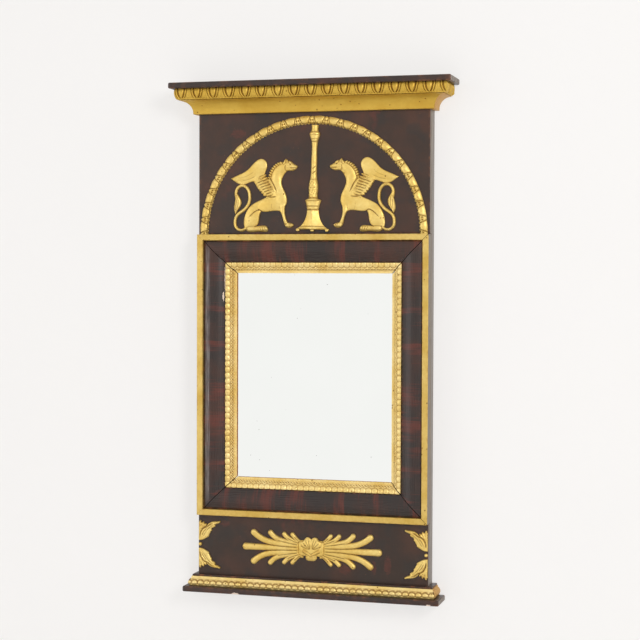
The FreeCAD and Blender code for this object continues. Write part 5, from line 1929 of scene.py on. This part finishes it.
@dataclass
class Carcass:
    """The pine frame behind, its boards and the nails that hold it together."""

    reach: Reach
    nosing: float = 2.4 * MM
    panel_rounding: float = 0.8 * MM
    nail_inset: float = 14 * MM
    nail_head: float = 2.8 * MM
    nail_shank: float = 1.1 * MM
    nail_proud: float = 0.25 * MM
    brad_radius: float = 0.9 * MM
    end_nail_share: float = 0.4
    end_brad_share: float = 0.55
    side_brad_share: float = 0.7
    member: float = 64.2 * MM
    chips: tuple = (((-125, 7.5), (2.6, 3.4)), ((202, 5.0), (2.2, 2.6)))

    def _boards(self, shop: Workshop) -> None:
        """Make the painted boards and panels."""
        low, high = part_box("plinth_board")
        chips = [(Vector((place * MM, low.y, low.z)), Vector((long * MM, deep * MM, tall * MM)))
                 for (place, long), (deep, tall) in self.chips]
        plinth = Board(low, high, self.nosing, chips)
        top = Board(*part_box("top_board"), self.nosing)
        # Side ends take the light grey of dust and painted sheen; backs show raw pine.
        backs = {"raw": lambda normal: normal.y > FACING, "dusty_sheen": lambda normal: abs(normal.x) > FACING}
        for name, board, node in (("plinth_edge_board", plinth, "plinth_board"),
                                  ("top_edge_board", top, "top_board")):
            shop.add(name, board.mesh(name, backs), shop.edge_paint, node)
        for node in ("upper_panel", "lower_panel"):
            panel = Board(*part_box(node), self.panel_rounding)
            shop.add(f"painted_{node}", panel.mesh(f"painted_{node}", backs), shop.paint, node)

    def _members(self, shop: Workshop) -> None:
        """Make the stiles, the rails between them and the board behind the glass."""
        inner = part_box("stile_left")[1].x
        for side in Side:
            node = f"stile_{side.label}"
            # Outer sides are painted; their finish shows them light grey for dust and painted sheen.
            outside = {"painted": lambda normal, sign=side.value: normal.x * sign > FACING}
            mesh = Board(*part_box(node)).mesh(f"pine_{node}", outside)
            shop.add(f"pine_{node}", mesh, shop.upright_pine, node)
        for node in ("top_rail", "upper_cross_rail", "lower_cross_rail", "bottom_rail"):
            low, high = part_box(node)
            low.x, high.x = inner, -inner
            shop.add(f"pine_{node}", Board(low, high).mesh(f"pine_{node}"), shop.level_pine, node)
        board = Board(*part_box("back_board")).mesh("pine_back_board")
        shop.add("pine_back_board", board, shop.upright_pine, "back_board")
        shop.dress("glass_packing", shop.level_pine)
        shop.dress("mirror_glass", shop.mirror)

    def _nail(self, length: float) -> Mesh:
        """A forged nail with a low, uneven head, driven along -Y."""
        head, shank, proud = self.nail_head, self.nail_shank, self.nail_proud
        profile = [(head * 0.25, proud), (head * 0.7, proud * 0.8), (head * 0.97, proud * 0.2),
                   (head, -proud), (head * 0.9, -1 * MM), (shank, -1.4 * MM), (shank * 0.8, -length * 0.7),
                   (0.3 * MM, -length)]
        return turned_mesh("forged_nail", profile, 12, 0.1)

    def _rows(self, shop: Workshop, name: str, node: str, unit: Mesh, rows: Iterable[tuple]) -> None:
        """Lay rows of one nail, each by its count, start, step and turn, and make them a piece."""
        laid = [shop.repeater.run(unit, shop.iron.material, *row) for row in rows]
        shop.add(name, joined(name, laid), shop.iron, node)

    def _nails(self, shop: Workshop) -> None:
        """Make the nails seen from behind, above and below."""
        reach = self.reach
        across = reach.half_body - self.nail_inset
        half = (reach.frame_top - reach.frame_bottom) / 2
        middle = (reach.frame_top + reach.frame_bottom) / 2
        low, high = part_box("frame_nails")
        nail = self._nail(high.y - low.y)
        ends = reach.half_body * self.end_nail_share
        rows = [(4, (x, 0, middle - half * 0.75), (0, 0, half * 0.5)) for x in (-across, across)]
        for level in (middle - half + self.nail_inset, middle + half - self.nail_inset):
            rows.append((2, (-ends, 0, level), (2 * ends, 0, 0)))
        self._rows(shop, "forged_frame_nails", "frame_nails", nail, rows)
        rows = []
        for base, top in ((reach.frame_top, reach.board_under), (reach.plinth_top, reach.frame_bottom)):
            step = (0, 0, (top - base) * 0.5)
            rows += [(2, (x, 0, base + (top - base) * 0.25), step) for x in (-across, across)]
        self._rows(shop, "forged_panel_nails", "panel_nails", nail, rows)
        for node, face, turn in (("top_board_nails", 1, math.pi / 2), ("plinth_nails", 0, -math.pi / 2)):
            low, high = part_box(node)
            start = (-across, (low.y + high.y) / 2, (low, high)[face].z)
            row = (2, start, (2 * across, 0, 0), (turn, 0, 0))
            self._rows(shop, f"forged_{node}", node, self._nail(high.z - low.z), [row])

    def _brads(self, shop: Workshop) -> None:
        """Make the brads that hold the board behind the glass."""
        low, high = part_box("back_board_nails")
        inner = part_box("stile_right")[0].x
        length = 2 * (high.x - inner)
        line = (low.y + high.y) / 2
        middle = (low.z + high.z) / 2
        board_low, board_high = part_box("back_board")
        radius = self.brad_radius
        profile = [(radius * 0.6, length / 2), (radius, length / 2 - 0.3 * MM), (radius * 0.9, 0.0),
                   (radius * 0.6, -length * 0.4), (0.2 * MM, -length / 2)]
        unit = turned_mesh("brad", profile, 8, 0.12)
        half_high = (self.reach.frame_top - self.reach.frame_bottom) / 2 - self.member
        side_step = half_high * self.side_brad_share
        across = (self.reach.half_body - self.member) * self.end_brad_share
        quarter = math.pi / 2
        rows = [(3, (x, line, middle - side_step), (0, 0, side_step), (0, 0, turn))
                for x, turn in ((-inner, -quarter), (inner, quarter))]
        rows += [(2, (-across, line, z), (2 * across, 0, 0), (turn, 0, 0))
                 for z, turn in ((board_low.z, -quarter), (board_high.z, quarter))]
        self._rows(shop, "board_brads", "back_board_nails", unit, rows)

    def build(self, shop: Workshop) -> None:
        """Make the carcass."""
        self._boards(shop)
        self._members(shop)
        self._nails(shop)
        self._brads(shop)


@dataclass
class Hanger:
    """The iron ring and the staple that holds it in the top rail."""

    wire: float = 2 * MM
    staple_wire: float = 1.5 * MM
    steps: int = 72

    def build(self, shop: Workshop) -> None:
        """Make the ring and the staple."""
        low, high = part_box("hanging_ring")
        centre = (low + high) / 2
        radius = (high.x - low.x) / 2 - self.wire
        angles = np.linspace(0, 2 * math.pi, self.steps, endpoint=False)
        path = np.column_stack([centre.x + radius * np.sin(angles), np.full(self.steps, centre.y),
                                centre.z + radius * np.cos(angles)])
        ring = wire_mesh("forged_ring", path, Vector((0, 1, 0)), self.wire, True)
        shop.add("forged_ring", ring, shop.iron, "hanging_ring", body=Body.RING)
        low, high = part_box("hanging_staple")
        half = (high.z - low.z) / 2 - self.staple_wire
        level = (high.z + low.z) / 2
        bend = high.y - self.staple_wire - half
        sweep = np.linspace(math.pi / 2, -math.pi / 2, 18)
        path = [(0, low.y, level + half), (0, (low.y + bend) / 2, level + half)]
        path += [(0, bend + half * math.cos(turn), level + half * math.sin(turn)) for turn in sweep]
        path += [(0, (low.y + bend) / 2, level - half), (0, low.y, level - half)]
        staple = wire_mesh("forged_staple", np.array(path), Vector((1, 0, 0)), self.staple_wire, False)
        shop.add("forged_staple", staple, shop.iron, "hanging_staple")


@dataclass(frozen=True)
class Lamp:
    """One soft lamp, aimed at the middle of the mirror."""

    name: str
    place: tuple[float, float, float]
    watts: float
    width: float
    height: float

    def build(self, target: Vector) -> None:
        """Make the lamp."""
        light = bpy.data.lights.new(self.name, "AREA")
        light.shape = "RECTANGLE"
        light.energy = self.watts
        light.size, light.size_y = self.width, self.height
        lamp = bpy.data.objects.new(self.name, light)
        lamp.location = self.place
        lamp.rotation_euler = (target - Vector(self.place)).to_track_quat("-Z", "Y").to_euler()
        bpy.context.scene.collection.objects.link(lamp)


@dataclass
class Studio:
    """White wall, pale floor, soft light and the camera."""

    target: Vector = field(default_factory=lambda: Vector((0, 0, -0.36)))
    camera_place: tuple = (0.72431, -2.55767, -0.25389)
    yaw: float = math.radians(15.717)
    pitch: float = math.radians(1.620)
    roll: float = math.radians(0.192)
    lens: float = 89.716
    ambient: float = 0.56
    wall_glow: float = 0.68
    wall_colour: Colour = srgb(248, 246, 244)
    wall_cloud: Colour = srgb(240, 239, 237)
    wall_line: float = 0.7 * MM
    wall_half: float = 3.0
    wall_top: float = 2.0
    floor_level: float = -1.15
    floor_front: float = -2.4
    short_ray: float = 0.03
    lamps: tuple = (
        Lamp("key", (1.9, -2.3, 0.6), 34.0, 0.7, 0.9),
        Lamp("window", (-2.0, -1.9, -0.2), 13.0, 1.6, 2.4),
    )

    def _world(self) -> None:
        """White where it is seen or mirrored, softer where it lights."""
        world = bpy.data.worlds.new("soft_white")
        bpy.context.scene.world = world
        world.use_nodes = True
        bench = Bench(world.node_tree)
        rays = bench.add("ShaderNodeLightPath").outputs
        seen = bench.greatest(*[rays[f"Is {kind} Ray"] for kind in ("Camera", "Glossy", "Transmission")])
        bench.wire(world.node_tree.nodes["Background"], {
            "Color": (1.0, 1.0, 1.0), "Strength": bench.span(seen, 0.0, 1.0, self.ambient, 1.0)})

    def _backdrop(self, name: str, corners: Sequence[Triple]) -> None:
        """A matt plane that is clear from behind, and to rays that start close to it."""
        material, bench, shader = new_material(name)
        place = bench.coordinates()
        cloud = bench.span(bench.noise(place, 3.0), 0.3, 0.7, 0.0, 0.25)
        tone = bench.mix(cloud, self.wall_colour, self.wall_cloud)
        bench.wire(shader, {"Base Color": tone, "Roughness": 0.9})
        shader.inputs["Specular IOR Level"].default_value = 0.1
        rays = bench.add("ShaderNodeLightPath").outputs
        near = bench.calc("LESS_THAN", rays["Ray Length"], self.short_ray)
        behind = bench.add("ShaderNodeNewGeometry").outputs["Backfacing"]
        clear = bench.add("ShaderNodeBsdfTransparent").outputs[0]
        unseen = bench.calc("SUBTRACT", 1.0, rays["Is Camera Ray"])
        share = bench.greatest(behind, bench.product(near, unseen))
        glow = bench.add("ShaderNodeEmission", {"Color": self.wall_colour}).outputs[0]
        glowing = bench.product(rays["Is Camera Ray"], self.wall_glow)
        matt = bench.add("ShaderNodeMixShader", {0: glowing, 1: shader.outputs[0], 2: glow})
        blend = bench.add("ShaderNodeMixShader", {0: share, 1: matt.outputs[0], 2: clear})
        bench.wire(material.node_tree.nodes["Material Output"], {"Surface": blend.outputs[0]})
        mesh = make_mesh(name, np.array(corners, float), [list(range(len(corners)))])
        mesh.materials.append(material)
        plane = bpy.data.objects.new(name, mesh)
        bpy.context.scene.collection.objects.link(plane)

    def _camera(self) -> None:
        """The photograph's viewpoint."""
        camera = bpy.data.objects.new("camera", bpy.data.cameras.new("camera"))
        camera.data.lens = self.lens
        turn = Euler((0, 0, self.yaw)).to_matrix() @ Euler((math.pi / 2 - self.pitch, 0, 0)).to_matrix()
        turn = turn @ Euler((0, 0, self.roll)).to_matrix()
        camera.matrix_world = Matrix.Translation(self.camera_place) @ turn.to_4x4()
        bpy.context.scene.collection.objects.link(camera)
        bpy.context.scene.camera = camera

    def build(self) -> None:
        """Make the studio."""
        bpy.context.scene.view_settings.view_transform = "Standard"
        self._world()
        wall, floor = self.wall_line, self.floor_level
        half, top, front = self.wall_half, self.wall_top, self.floor_front
        self._backdrop("wall", [(-half, wall, floor), (half, wall, floor), (half, wall, top),
                                (-half, wall, top)])
        self._backdrop("floor", [(-half, wall, floor), (-half, front, floor), (half, front, floor),
                                 (half, wall, floor)])
        for lamp in self.lamps:
            lamp.build(self.target)
        self._camera()


def main() -> None:
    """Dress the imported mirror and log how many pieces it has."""
    logging.basicConfig(level=logging.INFO, format="%(message)s")
    reach = Reach.of_frame()
    shop = Workshop()
    Carcass(reach).build(shop)
    FrameMouldings(reach).build(shop)
    Courses(reach).build(shop)
    Arch(reach).build(shop)
    UpperOrnaments(reach).build(shop)
    LowerOrnaments(reach).build(shop)
    Hanger().build(shop)
    Studio().build()
    LOG.info("%d pieces", shop.count)


if __name__ == "__main__":
    main()
